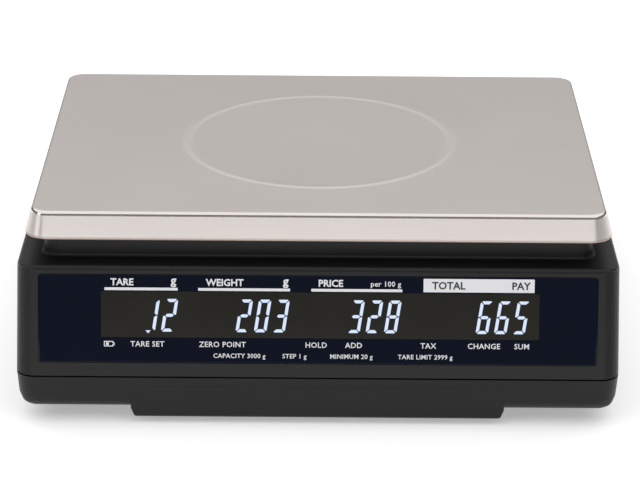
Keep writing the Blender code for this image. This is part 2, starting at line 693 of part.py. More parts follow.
def make_pan_support(cast):
    low = PLATEAU_TOP + SUPPORT_CLEAR
    top = low + SUPPORT_PLATE
    width, depth = PAN_WIDTH - 2 * SUPPORT_INSET_X, PAN_DEPTH - 2 * SUPPORT_INSET_Y
    plate = prism(rounded_outline(width, depth, SUPPORT_CORNER, 4, (0, PAN_Y)), low, top)
    support = add("pan_support", plate, cast)
    lugs = prism(hub_outline(), BEAM_BOTTOM + CELL_BEAM_HEIGHT + HUB_GAP, low + SUPPORT_PLATE / 2)
    pad_x, pad_y = width / 2 - SUPPORT_CORNER, depth / 2 - SUPPORT_CORNER
    for x in (-pad_x, pad_x):
        for y in (PAN_Y - pad_y, PAN_Y + pad_y):
            turned([(SUPPORT_PAD_RADIUS + MM, top - MM), (SUPPORT_PAD_RADIUS, PAN_TOP - PAN_SHEET - GAP)],
                   14, (x, y), lugs)
    join(support, helper("support_lugs", lugs))
    holes = bmesh.new()
    for x in live_bolts():
        head = BOLT_HEAD_RADIUS + GAP
        shaft = BOLT_RADIUS + GAP
        seat = hub_seat()
        turned([(shaft, BEAM_BOTTOM), (shaft, seat - 0.1 * MM), (head, seat), (head, PAN_TOP)],
               12, (x, PAN_Y), holes)
    for x in (-pad_x * 0.62, -pad_x * 0.2):
        for y in (PAN_Y - pad_y * 0.6, PAN_Y + pad_y * 0.6):
            turned([(SUPPORT_PORT_RADIUS, 0), (SUPPORT_PORT_RADIUS, PAN_TOP)], 16, (x, y), holes)
    cut(support, helper("support_holes", holes))


def hub_seat():
    """Height that the live-end screw heads sit on, inside the hub."""
    return PLATEAU_TOP - 6 * MM


def live_bolts():
    return LIVE_X - BOLT_SPREAD / 2, LIVE_X + BOLT_SPREAD / 2


def fixed_bolts():
    return -LIVE_X + BOLT_SPREAD / 2, -LIVE_X - BOLT_SPREAD / 2


def make_load_cell(aluminium):
    half, wide = CELL_BEAM_LENGTH / 2, CELL_BEAM_WIDTH / 2
    top = BEAM_BOTTOM + CELL_BEAM_HEIGHT
    beam = add("load_cell", box((-half, half), (PAN_Y - wide, PAN_Y + wide), (BEAM_BOTTOM + GAP, top)), aluminium)
    window = bmesh.new()
    outline = []
    slope = atan(CELL_SLOT / 2 / CELL_HOLE_RADIUS)
    for side in (1, -1):
        for step in range(11):
            angle = (pi - slope) * (1 - step / 5)
            outline.append((side * (CELL_HOLE_SPREAD + CELL_HOLE_RADIUS * cos(angle)),
                            side * CELL_HOLE_RADIUS * sin(angle)))
    middle = BEAM_BOTTOM + CELL_BEAM_HEIGHT / 2
    sides = [[window.verts.new((x, y, middle + z)) for x, z in outline]
             for y in (PAN_Y - wide - MM, PAN_Y + wide + MM)]
    for i in range(len(outline)):
        k = (i + 1) % len(outline)
        window.faces.new((sides[0][i], sides[0][k], sides[1][k], sides[1][i]))
    window.faces.new(sides[0][::-1])
    window.faces.new(sides[1])
    cut(beam, helper("beam_window", window))
    holes = bmesh.new()
    for x in live_bolts():
        turned([(BOLT_RADIUS + GAP, top - BOLT_BITE - 3 * MM), (BOLT_RADIUS + GAP, top + MM)], 10, (x, PAN_Y), holes)
    for x in fixed_bolts():
        turned([(BOLT_RADIUS + GAP, BEAM_BOTTOM - MM), (BOLT_RADIUS + GAP, BEAM_BOTTOM + BOLT_BITE + 3 * MM)],
               10, (x, PAN_Y), holes)
    cut(beam, helper("beam_holes", holes))


def make_bolts(steel):
    top = BEAM_BOTTOM + CELL_BEAM_HEIGHT
    for number, x in enumerate(live_bolts(), 1):
        seat = hub_seat() + GAP
        shape = turned([(BOLT_RADIUS, top - BOLT_BITE), (BOLT_RADIUS, seat), (BOLT_HEAD_RADIUS, seat + 0.05 * MM),
                        (BOLT_HEAD_RADIUS, seat + BOLT_HEAD)], 12)
        add(f"live_end_screw_{number}", shape, steel, (x, PAN_Y, 0))
    seat = BEAM_BOTTOM - PEDESTAL_TOP - GAP
    for number, x in enumerate(fixed_bolts(), 1):
        shape = turned([(BOLT_HEAD_RADIUS, seat - BOLT_HEAD), (BOLT_HEAD_RADIUS, seat - 0.05 * MM),
                        (BOLT_RADIUS, seat), (BOLT_RADIUS, BEAM_BOTTOM + BOLT_BITE)], 12)
        add(f"fixed_end_bolt_{number}", shape, steel, (x, PAN_Y, 0))
    stop_base = BEAM_BOTTOM + GAP - OVERLOAD_GAP - STOP_PIN
    shape = turned([(STOP_RADIUS, CHASSIS_TOP + GAP), (STOP_RADIUS, stop_base), (STOP_PIN_RADIUS, stop_base + 0.1 * MM),
                    (STOP_PIN_RADIUS, stop_base + STOP_PIN)], 12)
    add("overload_stop", shape, steel, (LIVE_X, PAN_Y, 0))


def make_chassis(cast):
    y = (BAY_BACK + BAY_WALL + 3 * MM, PAN_Y + PAN_DEPTH / 2 - 30 * MM)
    centre = (0, (y[0] + y[1]) / 2)
    outline = rounded_outline(CHASSIS_WIDTH, y[1] - y[0], 10 * MM, 3, centre)
    chassis = add("chassis", prism(outline, CHASSIS_BOTTOM, CHASSIS_TOP), cast)
    middle = sum(fixed_bolts()) / 2
    block = rounded_outline(PEDESTAL_LENGTH, PEDESTAL_WIDTH, 4 * MM, 2, (middle, PAN_Y))
    inner = rounded_outline(PEDESTAL_LENGTH - 2 * PEDESTAL_WALL, PEDESTAL_WIDTH - 2 * PEDESTAL_WALL, MM, 1,
                            (middle, PAN_Y))
    join(chassis, helper("pedestal", prism(block, CHASSIS_BOTTOM + MM, BEAM_BOTTOM)))
    cut(chassis, helper("pedestal_hollow", prism(inner, 0, BEAM_BOTTOM - PEDESTAL_TOP)))
    holes = bmesh.new()
    for x in fixed_bolts():
        turned([(BOLT_RADIUS + GAP, 0), (BOLT_RADIUS + GAP, 2 * BEAM_BOTTOM)], 10, (x, PAN_Y), holes)
    cut(chassis, helper("pedestal_holes", holes))


# ---------------------------------------------------------------- batteries, feet and small pieces
def door_shape(room, side_room, front, back):
    """The door's section: a plate with a thin tongue along each side that runs in the belly's grooves."""
    half = BAY_HALF + room
    top = DOOR_TOP + (room - GAP if room else 0)
    low = BELLY_BOTTOM + GAP - (3 * MM if room else 0)
    tongue_low = DOOR_TOP - DOOR_TONGUE_THICK - room
    wide = half + DOOR_TONGUE
    section = [(-half, low), (half, low), (half, tongue_low), (wide, tongue_low), (wide, top + room),
               (-wide, top + room), (-wide, tongue_low), (-half, tongue_low)]
    mesh = bmesh.new()
    ends = [[mesh.verts.new((x, y, z)) for x, z in section] for y in (front, back)]
    for i in range(len(section)):
        k = (i + 1) % len(section)
        mesh.faces.new((ends[0][i], ends[0][k], ends[1][k], ends[1][i]))
    mesh.faces.new(ends[0][::-1])
    mesh.faces.new(ends[1])
    return mesh


def make_batteries(black, zinc):
    back = BAY_BACK + BELLY_MARGIN - BELLY_TAPER
    add("battery_door", door_shape(0, 0, BAY_FRONT - 3 * MM, back), black)
    number = 0
    for row in range(CELL_ROWS):
        y = BAY_FRONT + CELL_RADIUS + MM + row * CELL_PITCH
        for place in range(CELLS_IN_ROW):
            number += 1
            start = (place - CELLS_IN_ROW / 2) * CELL_LENGTH
            body = CELL_LENGTH - CELL_NUB - GAP
            shape = turned([(CELL_RADIUS - MM, 0), (CELL_RADIUS, MM), (CELL_RADIUS, body - MM),
                            (CELL_RADIUS - MM, body), (CELL_NUB_RADIUS, body + 0.1 * MM),
                            (CELL_NUB_RADIUS, body + CELL_NUB)], 16)
            cell = add(f"battery_cell_{number}", shape, zinc)
            turn = 1 if row % 2 == 0 else -1
            cell.rotation_euler = (0, turn * pi / 2, 0)
            cell.location = (start + GAP / 2 if turn > 0 else -start - GAP / 2, y, CELL_HEIGHT)


def make_feet(rubber, black):
    wheel_low = FOOT_PAD_THICK + GAP
    wheel_top = wheel_low + FOOT_WHEEL_THICK
    for number, (x, y) in enumerate(FOOT_PLACES, 1):
        pad = add(f"foot_pad_{number}", turned([(FOOT_PAD_RADIUS - MM, 0), (FOOT_PAD_RADIUS, MM),
                                                (FOOT_PAD_RADIUS, FOOT_PAD_THICK)], 20), rubber, (x, y, 0))
        socket = turned([(FOOT_SPIGOT_RADIUS + GAP, FOOT_PAD_THICK - FOOT_SPIGOT_DEEP - GAP),
                         (FOOT_SPIGOT_RADIUS + GAP, 2 * FOOT_PAD_THICK)], 14)
        cut(pad, helper(f"foot_socket_{number}", socket, (x, y, 0)))
        stud = turned([(FOOT_SPIGOT_RADIUS, FOOT_PAD_THICK - FOOT_SPIGOT_DEEP), (FOOT_SPIGOT_RADIUS, wheel_low),
                       (FOOT_WHEEL_RADIUS, wheel_low + 0.05 * MM), (FOOT_WHEEL_RADIUS, wheel_top),
                       (FOOT_STUD_RADIUS, wheel_top + 0.05 * MM), (FOOT_STUD_RADIUS, wheel_top + FOOT_STUD_LENGTH)], 16)
        add(f"foot_stud_{number}", stud, black, (x, y, 0))


def make_case_screws(steel):
    seat = CASE_FLOOR + SCREW_SINK - GAP
    for number, (x, y) in enumerate(SCREW_PLACES, 1):
        shape = turned([(SCREW_HEAD_RADIUS, seat - SCREW_HEAD), (SCREW_HEAD_RADIUS, seat - 0.05 * MM),
                        (SCREW_RADIUS, seat), (SCREW_RADIUS, seat + SCREW_LENGTH)], 12)
        add(f"case_screw_{number}", shape, steel, (x, y, 0))


def make_main_board(green):
    low = FLOOR_TOP + 4 * MM
    y = (DECK_BACK_Y - 20 * MM, DECK_BACK_Y - 20 * MM + MAIN_BOARD_DEPTH)
    half = MAIN_BOARD_WIDTH / 2
    board = add("main_board", box((-half, half), y, (low, low + BOARD_THICK)), green)
    parts = bmesh.new()
    for x, depth, wide, rise in ((-half + 16 * MM, 14, 18, 1), (0, 34, 26, 0.5), (half - 18 * MM, 20, 20, 0.8)):
        middle = y[0] + depth * MM
        box((x - wide * MM / 2, x + wide * MM / 2), (middle - 7 * MM, middle + 7 * MM),
            (low + BOARD_THICK / 2, low + BOARD_THICK + rise * MAIN_BOARD_HEIGHT), parts)
    join(board, helper("board_parts", parts))


def socket_height():
    return (CASE_FLOOR + JOINT_HEIGHT) / 2


def make_socket(black):
    z, outer = socket_height(), lower_half(socket_height()) - 0.5 * MM
    body = box((outer - SOCKET_LENGTH, outer), (SOCKET_Y - SOCKET_WIDTH / 2, SOCKET_Y + SOCKET_WIDTH / 2),
               (z - SOCKET_HEIGHT / 2, z + SOCKET_HEIGHT / 2))
    socket = add("dc_socket", body, black)
    bore = helper("socket_bore", turned([(SOCKET_BORE_RADIUS, -SOCKET_BORE_DEEP), (SOCKET_BORE_RADIUS, 2 * MM)], 16),
                  (outer, SOCKET_Y, z))
    pin = helper("socket_pin", turned([(SOCKET_PIN_RADIUS, -SOCKET_BORE_DEEP - MM), (SOCKET_PIN_RADIUS, -MM)], 8),
                 (outer, SOCKET_Y, z))
    for item in (bore, pin):
        item.rotation_euler = (0, pi / 2, 0)
    cut(socket, bore)
    join(socket, pin)


def level_place():
    x = -PAN_WIDTH / 2 + PLATEAU_INSET + LEVEL_INSET + WALL
    y = PAN_Y + PAN_DEPTH / 2 - PLATEAU_INSET - LEVEL_INSET - WALL
    return x, y


def make_level(clear):
    flange = LEVEL_RADIUS + 1.5 * MM
    top = PLATEAU_TOP + GAP + LEVEL_STANDS
    shape = turned([(LEVEL_RADIUS, top - LEVEL_HEIGHT), (LEVEL_RADIUS, PLATEAU_TOP + GAP),
                    (flange, PLATEAU_TOP + GAP + 0.02 * MM), (flange, top)], 20)
    add("bubble_level", shape, clear, (*level_place(), 0))


def main():
    clear_scene()
    black = finish("black_abs", (0.035, 0.036, 0.037), 0.5)
    steel = finish("stainless_steel", (0.62, 0.59, 0.57), 0.3, 1.0)
    zinc = finish("zinc_plated_steel", (0.55, 0.55, 0.53), 0.35, 1.0)
    cast = finish("die_cast_aluminium", (0.42, 0.43, 0.44), 0.5, 1.0)
    bar = finish("machined_aluminium", (0.68, 0.69, 0.7), 0.35, 1.0)
    printed = finish("navy_printed_acrylic", (0.007, 0.01, 0.016), 0.1)
    glass = finish("display_glass", (0.024, 0.023, 0.02), 0.15)
    rubber = finish("black_rubber", (0.02, 0.02, 0.02), 0.8)
    caps = finish("grey_keycap", (0.32, 0.33, 0.35), 0.45)
    board = finish("circuit_board", (0.02, 0.12, 0.05), 0.4)
    wrap = finish("battery_wrap", (0.05, 0.06, 0.07), 0.3)
    vial = finish("level_vial", (0.45, 0.6, 0.1), 0.1)
    paper = finish("preset_sheet", (0.6, 0.62, 0.63), 0.5)

    front = frame("front_face", (0, DECK_FRONT_Y, DECK_HEIGHT), (pi / 2 - FRONT_LEAN, 0, 0))
    panel = frame("operator_panel", (0, DECK_BACK_Y, DECK_HEIGHT), (PANEL_SLOPE, 0, pi))

    make_upper_case(black, front, panel)
    make_lower_case(black)
    make_display("customer", front, FRONT_WINDOW_TOP, front_window_height(), FRONT_GLASS_TOP,
                 FRONT_GLASS_HEIGHT, printed, glass)
    make_display("operator", panel, PANEL_WINDOW_TOP, PANEL_WINDOW_HEIGHT, PANEL_GLASS_TOP,
                 PANEL_GLASS_HEIGHT, printed, glass)
    make_keys(caps, panel)
    add("preset_sheet", make_keypad(rubber, board, panel), paper, parent=panel)
    make_pan(steel)
    make_pan_support(cast)
    make_load_cell(bar)
    make_bolts(zinc)
    make_chassis(cast)
    make_batteries(black, wrap)
    make_feet(rubber, black)
    make_case_screws(zinc)
    make_main_board(board)
    make_socket(black)
    make_level(vial)


main()
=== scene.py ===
"""Looks of the low counter scale: finishes, printed windows, lit digits, keycaps and the studio."""

from math import ceil, cos, pi, radians, sin, tan

import bmesh
import bpy
from mathutils import Matrix, Vector


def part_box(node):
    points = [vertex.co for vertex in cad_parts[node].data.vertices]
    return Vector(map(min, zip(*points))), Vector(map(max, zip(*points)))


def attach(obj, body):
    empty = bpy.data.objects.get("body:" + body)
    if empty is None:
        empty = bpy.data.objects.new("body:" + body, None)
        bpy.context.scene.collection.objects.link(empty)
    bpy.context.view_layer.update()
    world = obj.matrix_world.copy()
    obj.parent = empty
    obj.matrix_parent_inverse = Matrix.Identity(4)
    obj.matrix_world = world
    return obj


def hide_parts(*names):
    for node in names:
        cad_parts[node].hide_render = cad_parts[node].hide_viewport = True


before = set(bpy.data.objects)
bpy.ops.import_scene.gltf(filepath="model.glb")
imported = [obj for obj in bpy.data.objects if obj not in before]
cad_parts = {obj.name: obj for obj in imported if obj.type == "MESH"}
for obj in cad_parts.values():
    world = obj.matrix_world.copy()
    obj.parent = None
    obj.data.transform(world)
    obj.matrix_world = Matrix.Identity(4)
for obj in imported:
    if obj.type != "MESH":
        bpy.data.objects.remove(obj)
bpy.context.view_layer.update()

MM = 0.001

# ---- casing, as the CAD has it ----
DECK = 93 * MM
JOINT = 30.5 * MM
FRONT_LEAN = radians(15)
PANEL_SLOPE = radians(26)
FRONT_RUN = (DECK - JOINT) * tan(FRONT_LEAN)
PAN_WIDTH = 333 * MM
PAN_DEPTH = 249 * MM
PAN_TOP = 123 * MM
DECK_MARGIN = 7.7 * MM
PANEL_DEPTH = 91 * MM
NOSE_LEAN = 4 * MM
BODY_DEPTH = FRONT_RUN + PAN_DEPTH + 2 * DECK_MARGIN + PANEL_DEPTH + NOSE_LEAN
DECK_FRONT_Y = FRONT_RUN - BODY_DEPTH / 2
PAN_Y = DECK_FRONT_Y + DECK_MARGIN + PAN_DEPTH / 2
DECK_BACK_Y = PAN_Y + PAN_DEPTH / 2 + DECK_MARGIN
FRONT = Matrix.Translation((0, DECK_FRONT_Y, DECK)) @ Matrix.Rotation(pi / 2 - FRONT_LEAN, 4, "X")
PANEL = (Matrix.Translation((0, DECK_BACK_Y, DECK)) @ Matrix.Rotation(pi, 4, "Z")
         @ Matrix.Rotation(PANEL_SLOPE, 4, "X"))
FACE_LENGTH = (DECK - JOINT) / cos(FRONT_LEAN)

# ---- the pan's pressed shape ----
PAN_RIM = 107 * MM
PAN_CORNER = 11 * MM
PAN_FLARE_LEAN = radians(14)
PAN_BEND = 2.3 * MM
HEM_CURL = 1.1 * MM
BEAD_RADIUS = 81.4 * MM
BEAD_WIDTH = 7.5 * MM
BEAD_RISE = 0.22 * MM

# ---- windows: the pane, and the clear lens in it ----
WINDOW_WIDTH = 322 * MM
WINDOW_CORNER = 1.8 * MM
LENS_SHIFT = 1.2 * MM
FRONT_WINDOW_TOP = 4.9 * MM
FRONT_WINDOW_HEIGHT = FACE_LENGTH - 13.5 * MM
FRONT_LENS = (14.5 * MM, 252.6 * MM, 26.8 * MM)  # top edge, width and height
PANEL_WINDOW_TOP = 4.5 * MM
PANEL_WINDOW_HEIGHT = 33.5 * MM
PANEL_LENS = (13.5 * MM, 252 * MM, 21 * MM)
INK_THICK = 0.04 * MM


# ---------------------------------------------------------------- finishes
def linear(hex_colour):
    """An sRGB colour such as "bbb3b0" as linear red, green and blue."""
    parts = [int(hex_colour[i:i + 2], 16) / 255 for i in (0, 2, 4)]
    return [p / 12.92 if p <= 0.04045 else ((p + 0.055) / 1.055) ** 2.4 for p in parts]


def node(tree, kind, settings=None, inputs=None):
    """Adds a node; an input is a value or the socket that feeds it."""
    made = tree.nodes.new(kind)
    for name, value in (settings or {}).items():
        setattr(made, name, value)
    for name, value in (inputs or {}).items():
        if isinstance(value, bpy.types.NodeSocket):
            tree.links.new(value, made.inputs[name])
        else:
            made.inputs[name].default_value = value
    return made


def finish(name, hex_colour, roughness, metallic=0.0, **more):
    """A material with its Principled shader's plain values; more holds other sockets of the shader."""
    made = bpy.data.materials.new(name)
    made.use_nodes = True
    tree = made.node_tree
    shader = tree.nodes["Principled BSDF"]
    shader.inputs["Base Color"].default_value = (*linear(hex_colour), 1)
    shader.inputs["Roughness"].default_value = roughness
    shader.inputs["Metallic"].default_value = metallic
    for socket, value in more.items():
        shader.inputs[socket.replace("_", " ")].default_value = value
    return made, tree, shader


def shade_with(tree, shader, source, dark_hex, light_hex, smoother, rougher):
    """Lets a 0 to 1 pattern run between two colours and two roughnesses."""
    colours = node(tree, "ShaderNodeMix", {"data_type": "RGBA"},
                   {0: source, 6: (*linear(dark_hex), 1), 7: (*linear(light_hex), 1)})
    span = node(tree, "ShaderNodeMapRange", None, {"Value": source, "To Min": smoother, "To Max": rougher})
    tree.links.new(colours.outputs[2], shader.inputs["Base Color"])
    tree.links.new(span.outputs[0], shader.inputs["Roughness"])


def relief(tree, shader, source, depth, strength=1.0):
    bump = node(tree, "ShaderNodeBump", None, {"Height": source, "Distance": depth, "Strength": strength})
    tree.links.new(bump.outputs[0], shader.inputs["Normal"])


def moulded(name, dark_hex, light_hex, smoother, rougher, grain, depth, gloss=0.5):
    """Injection-moulded plastic or rubber: even colour, a fine mould texture and slow changes of sheen."""
    made, tree, shader = finish(name, dark_hex, rougher, IOR=1.53, Specular_IOR_Level=gloss)
    place = node(tree, "ShaderNodeTexCoord").outputs["Object"]
    handled = node(tree, "ShaderNodeTexNoise", None,
                   {"Vector": place, "Scale": 1 / (45 * MM), "Detail": 3.0})
    shade_with(tree, shader, handled.outputs[0], dark_hex, light_hex, smoother, rougher)
    texture = node(tree, "ShaderNodeTexNoise", None, {"Vector": place, "Scale": 1 / grain, "Detail": 1.5})
    relief(tree, shader, texture.outputs[0], depth)
    return made


def brushed_steel():
    """Satin-brushed stainless sheet: a soft grey sheen, drawn out across the fine lines along it."""
    made, tree, shader = finish("satin_brushed_stainless_steel", "cdc4c0", 0.32, 1.0, Anisotropic=0.6,
                                Anisotropic_Rotation=0.25)
    place = node(tree, "ShaderNodeUVMap", {"uv_map": "brushing"}).outputs[0]
    # real brushing lines are under 0.1 mm apart; 0.6 mm is the finest that shows
    drawn = node(tree, "ShaderNodeMapping", None,
                 {"Vector": place, "Scale": (1 / (60 * MM), 1 / (0.6 * MM), 1)})
    lines = node(tree, "ShaderNodeTexNoise", None,
                 {"Vector": drawn.outputs[0], "Scale": 1.0, "Detail": 3.0})
    cloud = node(tree, "ShaderNodeTexNoise", None,
                 {"Vector": place, "Scale": 1 / (80 * MM), "Detail": 2.0})
    both = node(tree, "ShaderNodeMix", None, {0: 0.5, 2: lines.outputs[0], 3: cloud.outputs[0]})
    # a painted highlight lightens the sheet's colour in a band along the pressed bead
    from_middle = node(tree, "ShaderNodeVectorMath", {"operation": "DISTANCE"},
                       {0: place, 1: (0, PAN_Y, 0)})
    off_bead = node(tree, "ShaderNodeMath", {"operation": "SUBTRACT"},
                    {0: from_middle.outputs[1], 1: BEAD_RADIUS})
    distance = node(tree, "ShaderNodeMath", {"operation": "ABSOLUTE"}, {0: off_bead.outputs[0]})
    painted_bead_highlight = node(tree, "ShaderNodeMapRange", None,
                  {"Value": distance.outputs[0], "From Min": 1.6 * MM, "From Max": 4.6 * MM,
                   "To Min": 0.6, "To Max": 0.0})
    mottle_and_bead_highlight = node(tree, "ShaderNodeMath", {"operation": "ADD"}, {0: both.outputs[0], 1: painted_bead_highlight.outputs[0]})
    sheet_colour_and_highlight = node(tree, "ShaderNodeMix", {"data_type": "RGBA"},
                      {0: mottle_and_bead_highlight.outputs[0], 6: (*linear("d2cac6"), 1), 7: (*linear("ded8d4"), 1)})
    # a painted shade darkens the sheet's colour below the top of the hem, and the bend round the flat top
    # is polished by handling
    hem_top = PAN_RIM + 2.3 * MM
    bend_middle = PAN_TOP - 1.25 * MM
    spot = node(tree, "ShaderNodeTexCoord").outputs["Object"]
    height = node(tree, "ShaderNodeSeparateXYZ", None, {0: spot})
    hem = node(tree, "ShaderNodeMapRange", {"interpolation_type": "SMOOTHSTEP"},
               {"Value": height.outputs[2], "From Min": hem_top - 1 * MM, "From Max": hem_top,
                "To Min": 1.0, "To Max": 0.0})
    # mixes the painted shade colour in below the hem's top
    colour = node(tree, "ShaderNodeMix", {"data_type": "RGBA"},
                  {0: hem.outputs[0], 6: sheet_colour_and_highlight.outputs[2], 7: (*linear("a89a92"), 1)})
    tree.links.new(colour.outputs[2], shader.inputs["Base Color"])
    off_bend = node(tree, "ShaderNodeMath", {"operation": "SUBTRACT"},
                    {0: height.outputs[2], 1: bend_middle})
    from_bend = node(tree, "ShaderNodeMath", {"operation": "ABSOLUTE"}, {0: off_bend.outputs[0]})
    sheen = node(tree, "ShaderNodeMapRange", None,
                 {"Value": from_bend.outputs[0], "From Min": 0.9 * MM, "From Max": 1.2 * MM,
                  "To Min": 0.15, "To Max": 0.32})
    tree.links.new(sheen.outputs[0], shader.inputs["Roughness"])
    relief(tree, shader, lines.outputs[0], 0.012 * MM, 0.4)
    along = node(tree, "ShaderNodeTangent", {"direction_type": "UV_MAP", "uv_map": "brushing"})
    tree.links.new(along.outputs[0], shader.inputs["Tangent"])
    return made


def cast_metal(name, dark_hex, light_hex, grain):
    """Die-cast aluminium: grey, softly mottled skin with a slight orange peel."""
    made, tree, shader = finish(name, dark_hex, 0.5, 1.0)
    place = node(tree, "ShaderNodeTexCoord").outputs["Object"]
    skin = node(tree, "ShaderNodeTexNoise", None, {"Vector": place, "Scale": 1 / grain, "Detail": 4.0})
    shade_with(tree, shader, skin.outputs[0], dark_hex, light_hex, 0.42, 0.6)
    relief(tree, shader, skin.outputs[0], 0.12 * MM, 0.6)
    return made


def printed(name, hex_colour, roughness, haze_hex, coat=0.0, gloss=0.5):
    """Screen-printed ink or back-printed sheet: flat colour with the faint unevenness of the ink."""
    made, tree, shader = finish(name, hex_colour, roughness, IOR=1.49, Coat_Weight=coat,
                                Specular_IOR_Level=gloss)
    place = node(tree, "ShaderNodeTexCoord").outputs["Object"]
    uneven = node(tree, "ShaderNodeTexNoise", None,
                  {"Vector": place, "Scale": 1 / (30 * MM), "Detail": 3.0})
    shade_with(tree, shader, uneven.outputs[0], hex_colour, haze_hex, roughness * 0.8, roughness * 1.3)
    return made


def lit(name, hex_colour, strength):
    """Back-lit liquid-crystal segments: they glow evenly through the glass."""
    made, tree, shader = finish(name, "000000", 0.3)
    shader.inputs["Emission Color"].default_value = (*linear(hex_colour), 1)
    shader.inputs["Emission Strength"].default_value = strength
    return made


ABS = moulded("spark_textured_black_abs", "131314", "181819", 0.33, 0.43, 0.9 * MM, 0.025 * MM, 0.24)
DOOR_ABS = moulded("fine_textured_black_abs", "18181a", "1e1e20", 0.4, 0.5, 0.7 * MM, 0.025 * MM, 0.3)
RUBBER = moulded("moulded_black_rubber", "131313", "1c1c1c", 0.7, 0.85, 0.6 * MM, 0.05 * MM, 0.4)
KEY_GREY = moulded("grey_keycap_abs", "8f9397", "999da1", 0.38, 0.48, 0.5 * MM, 0.015 * MM)
KEY_DARK = moulded("charcoal_keycap_abs", "3a3d42", "43464b", 0.38, 0.48, 0.5 * MM, 0.015 * MM)
KEY_RED = moulded("red_keycap_abs", "9c2f2a", "a83832", 0.38, 0.48, 0.5 * MM, 0.015 * MM)
KEY_BLUE = moulded("blue_keycap_abs", "2d5487", "355d92", 0.38, 0.48, 0.5 * MM, 0.015 * MM)
STEEL = brushed_steel()
ZINC = cast_metal("bright_zinc_plating", "a9aaa6", "c2c2bd", 2.5 * MM)
CAST = cast_metal("die_cast_aluminium", "85878a", "9b9da0", 3 * MM)
BAR = cast_metal("milled_aluminium_bar", "b4b6b8", "cbcccd", 1.2 * MM)
NAVY = printed("navy_back_printed_acrylic", "050b1a", 0.035, "070e1f", gloss=0.28)
LCD_GLASS = printed("dark_liquid_crystal_glass", "201f1a", 0.1, "23221d", gloss=0.28)
FAINT = printed("unlit_segments", "22201b", 0.1, "24231e", gloss=0.28)
WHITE_INK = printed("white_screen_ink", "dfdfe1", 0.4, "d9d9dc")
NAVY_INK = printed("navy_screen_ink", "10151f", 0.4, "161c28")
GREY_FILM = printed("grey_polyester_film", "b9bdc1", 0.3, "c4c8cb")
PAD_FILM = printed("pale_polyester_film", "dfe2e4", 0.28, "e8eaec")
BOARD = printed("green_solder_mask", "14503a", 0.25, "1a5c42")
WRAP = printed("printed_battery_wrap", "2c3038", 0.25, "3a3f48")
VIAL = printed("tinted_spirit_vial", "a8c94a", 0.06, "b8d65a", 0.5)
LIT = lit("lit_segments", "d6e4ff", 0.98)
TIN = cast_metal("nickel_plated_steel", "bdbbb4", "d0cec8", 2 * MM)
BAND = printed("copper_printed_wrap", "a5652a", 0.25, "b47334")
BUBBLE = printed("air_bubble", "e6f0b8", 0.05, "edf5c8", 0.5)


# ---------------------------------------------------------------- mesh tools
def rounded_ring(width, depth, radius, z, corner=8, side=1, centre=(0, 0)):
    """Points of a rectangle with round corners, anticlockwise, with each side cut in side parts."""
    radius = max(radius, 0.01 * MM)
    points = []
    for quarter in range(4):
        sx, sy = ((1, 1), (-1, 1), (-1, -1), (1, -1))[quarter]
        middle = Vector((centre[0] + sx * (width / 2 - radius), centre[1] + sy * (depth / 2 - radius)))
        for step in range(corner + 1):
            angle = (quarter + step / corner) * pi / 2
            points.append(Vector((middle.x + radius * cos(angle), middle.y + radius * sin(angle), z)))
        nx, ny = ((-1, 1), (-1, -1), (1, -1), (1, 1))[quarter]
        after = Vector((centre[0] + nx * (width / 2 - radius), centre[1] + ny * (depth / 2 - radius)))
        angle = (quarter + 1) * pi / 2
        end = Vector((after.x + radius * cos(angle), after.y + radius * sin(angle), z))
        start = points[-1]
        points += [start.lerp(end, i / side) for i in range(1, side)]
    return points


def circle_ring(radius, z, count, centre=(0, 0)):
    turns = [2 * pi * i / count for i in range(count)]
    return [Vector((centre[0] + radius * cos(a), centre[1] + radius * sin(a), z)) for a in turns]


def loft(rings, closed=False, mesh=None):
    """Skins rings of equal length: capped at both ends, or closed on itself."""
    mesh = mesh or bmesh.new()
    made = [[mesh.verts.new(point) for point in ring] for ring in rings]
    pairs = list(zip(made, made[1:] + made[:1])) if closed else list(zip(made, made[1:]))
    for low, high in pairs:
        for i in range(len(low)):
            k = (i + 1) % len(low)
            mesh.faces.new((low[i], low[k], high[k], high[i]))
    if not closed:
        mesh.faces.new(made[0][::-1])
        mesh.faces.new(made[-1])
    return mesh


def slab(width, depth, radius, low, high, edge, centre=(0, 0), mesh=None):
    """A plate with round corners and a softened upper edge."""
    level = lambda inset, z: rounded_ring(width - 2 * inset, depth - 2 * inset, radius - inset, z,
                                          6, 1, centre)
    rings = [level(0, low)]
    for step in range(4):
        angle = step / 3 * pi / 2
        rings.append(level(edge * (1 - cos(angle)), high - edge + edge * sin(angle)))
    rings.append(level(edge + 0.02 * MM, high))  # keeps the flat top's shading flat
    return loft(rings, mesh=mesh)


def prism(outline, low, high, mesh=None):
    rings = [[Vector((x, y, z)) for x, y in outline] for z in (low, high)]
    return loft(rings, mesh=mesh)


def piece(name, mesh, material, body, place=None, replaces=(), sharp=32):
    """Turns a bmesh into a piece of the object that rides on a CAD body."""
    if place:
        bmesh.ops.transform(mesh, matrix=place, verts=mesh.verts)
    bmesh.ops.recalc_face_normals(mesh, faces=mesh.faces)
    data = bpy.data.meshes.new(name)
    mesh.to_mesh(data)
    mesh.free()
    data.shade_smooth()
    data.set_sharp_from_angle(angle=radians(sharp))
    data.materials.append(material)
    made = bpy.data.objects.new(name, data)
    bpy.context.scene.collection.objects.link(made)
    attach(made, body)
    if replaces:
        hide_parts(*replaces)
    return made


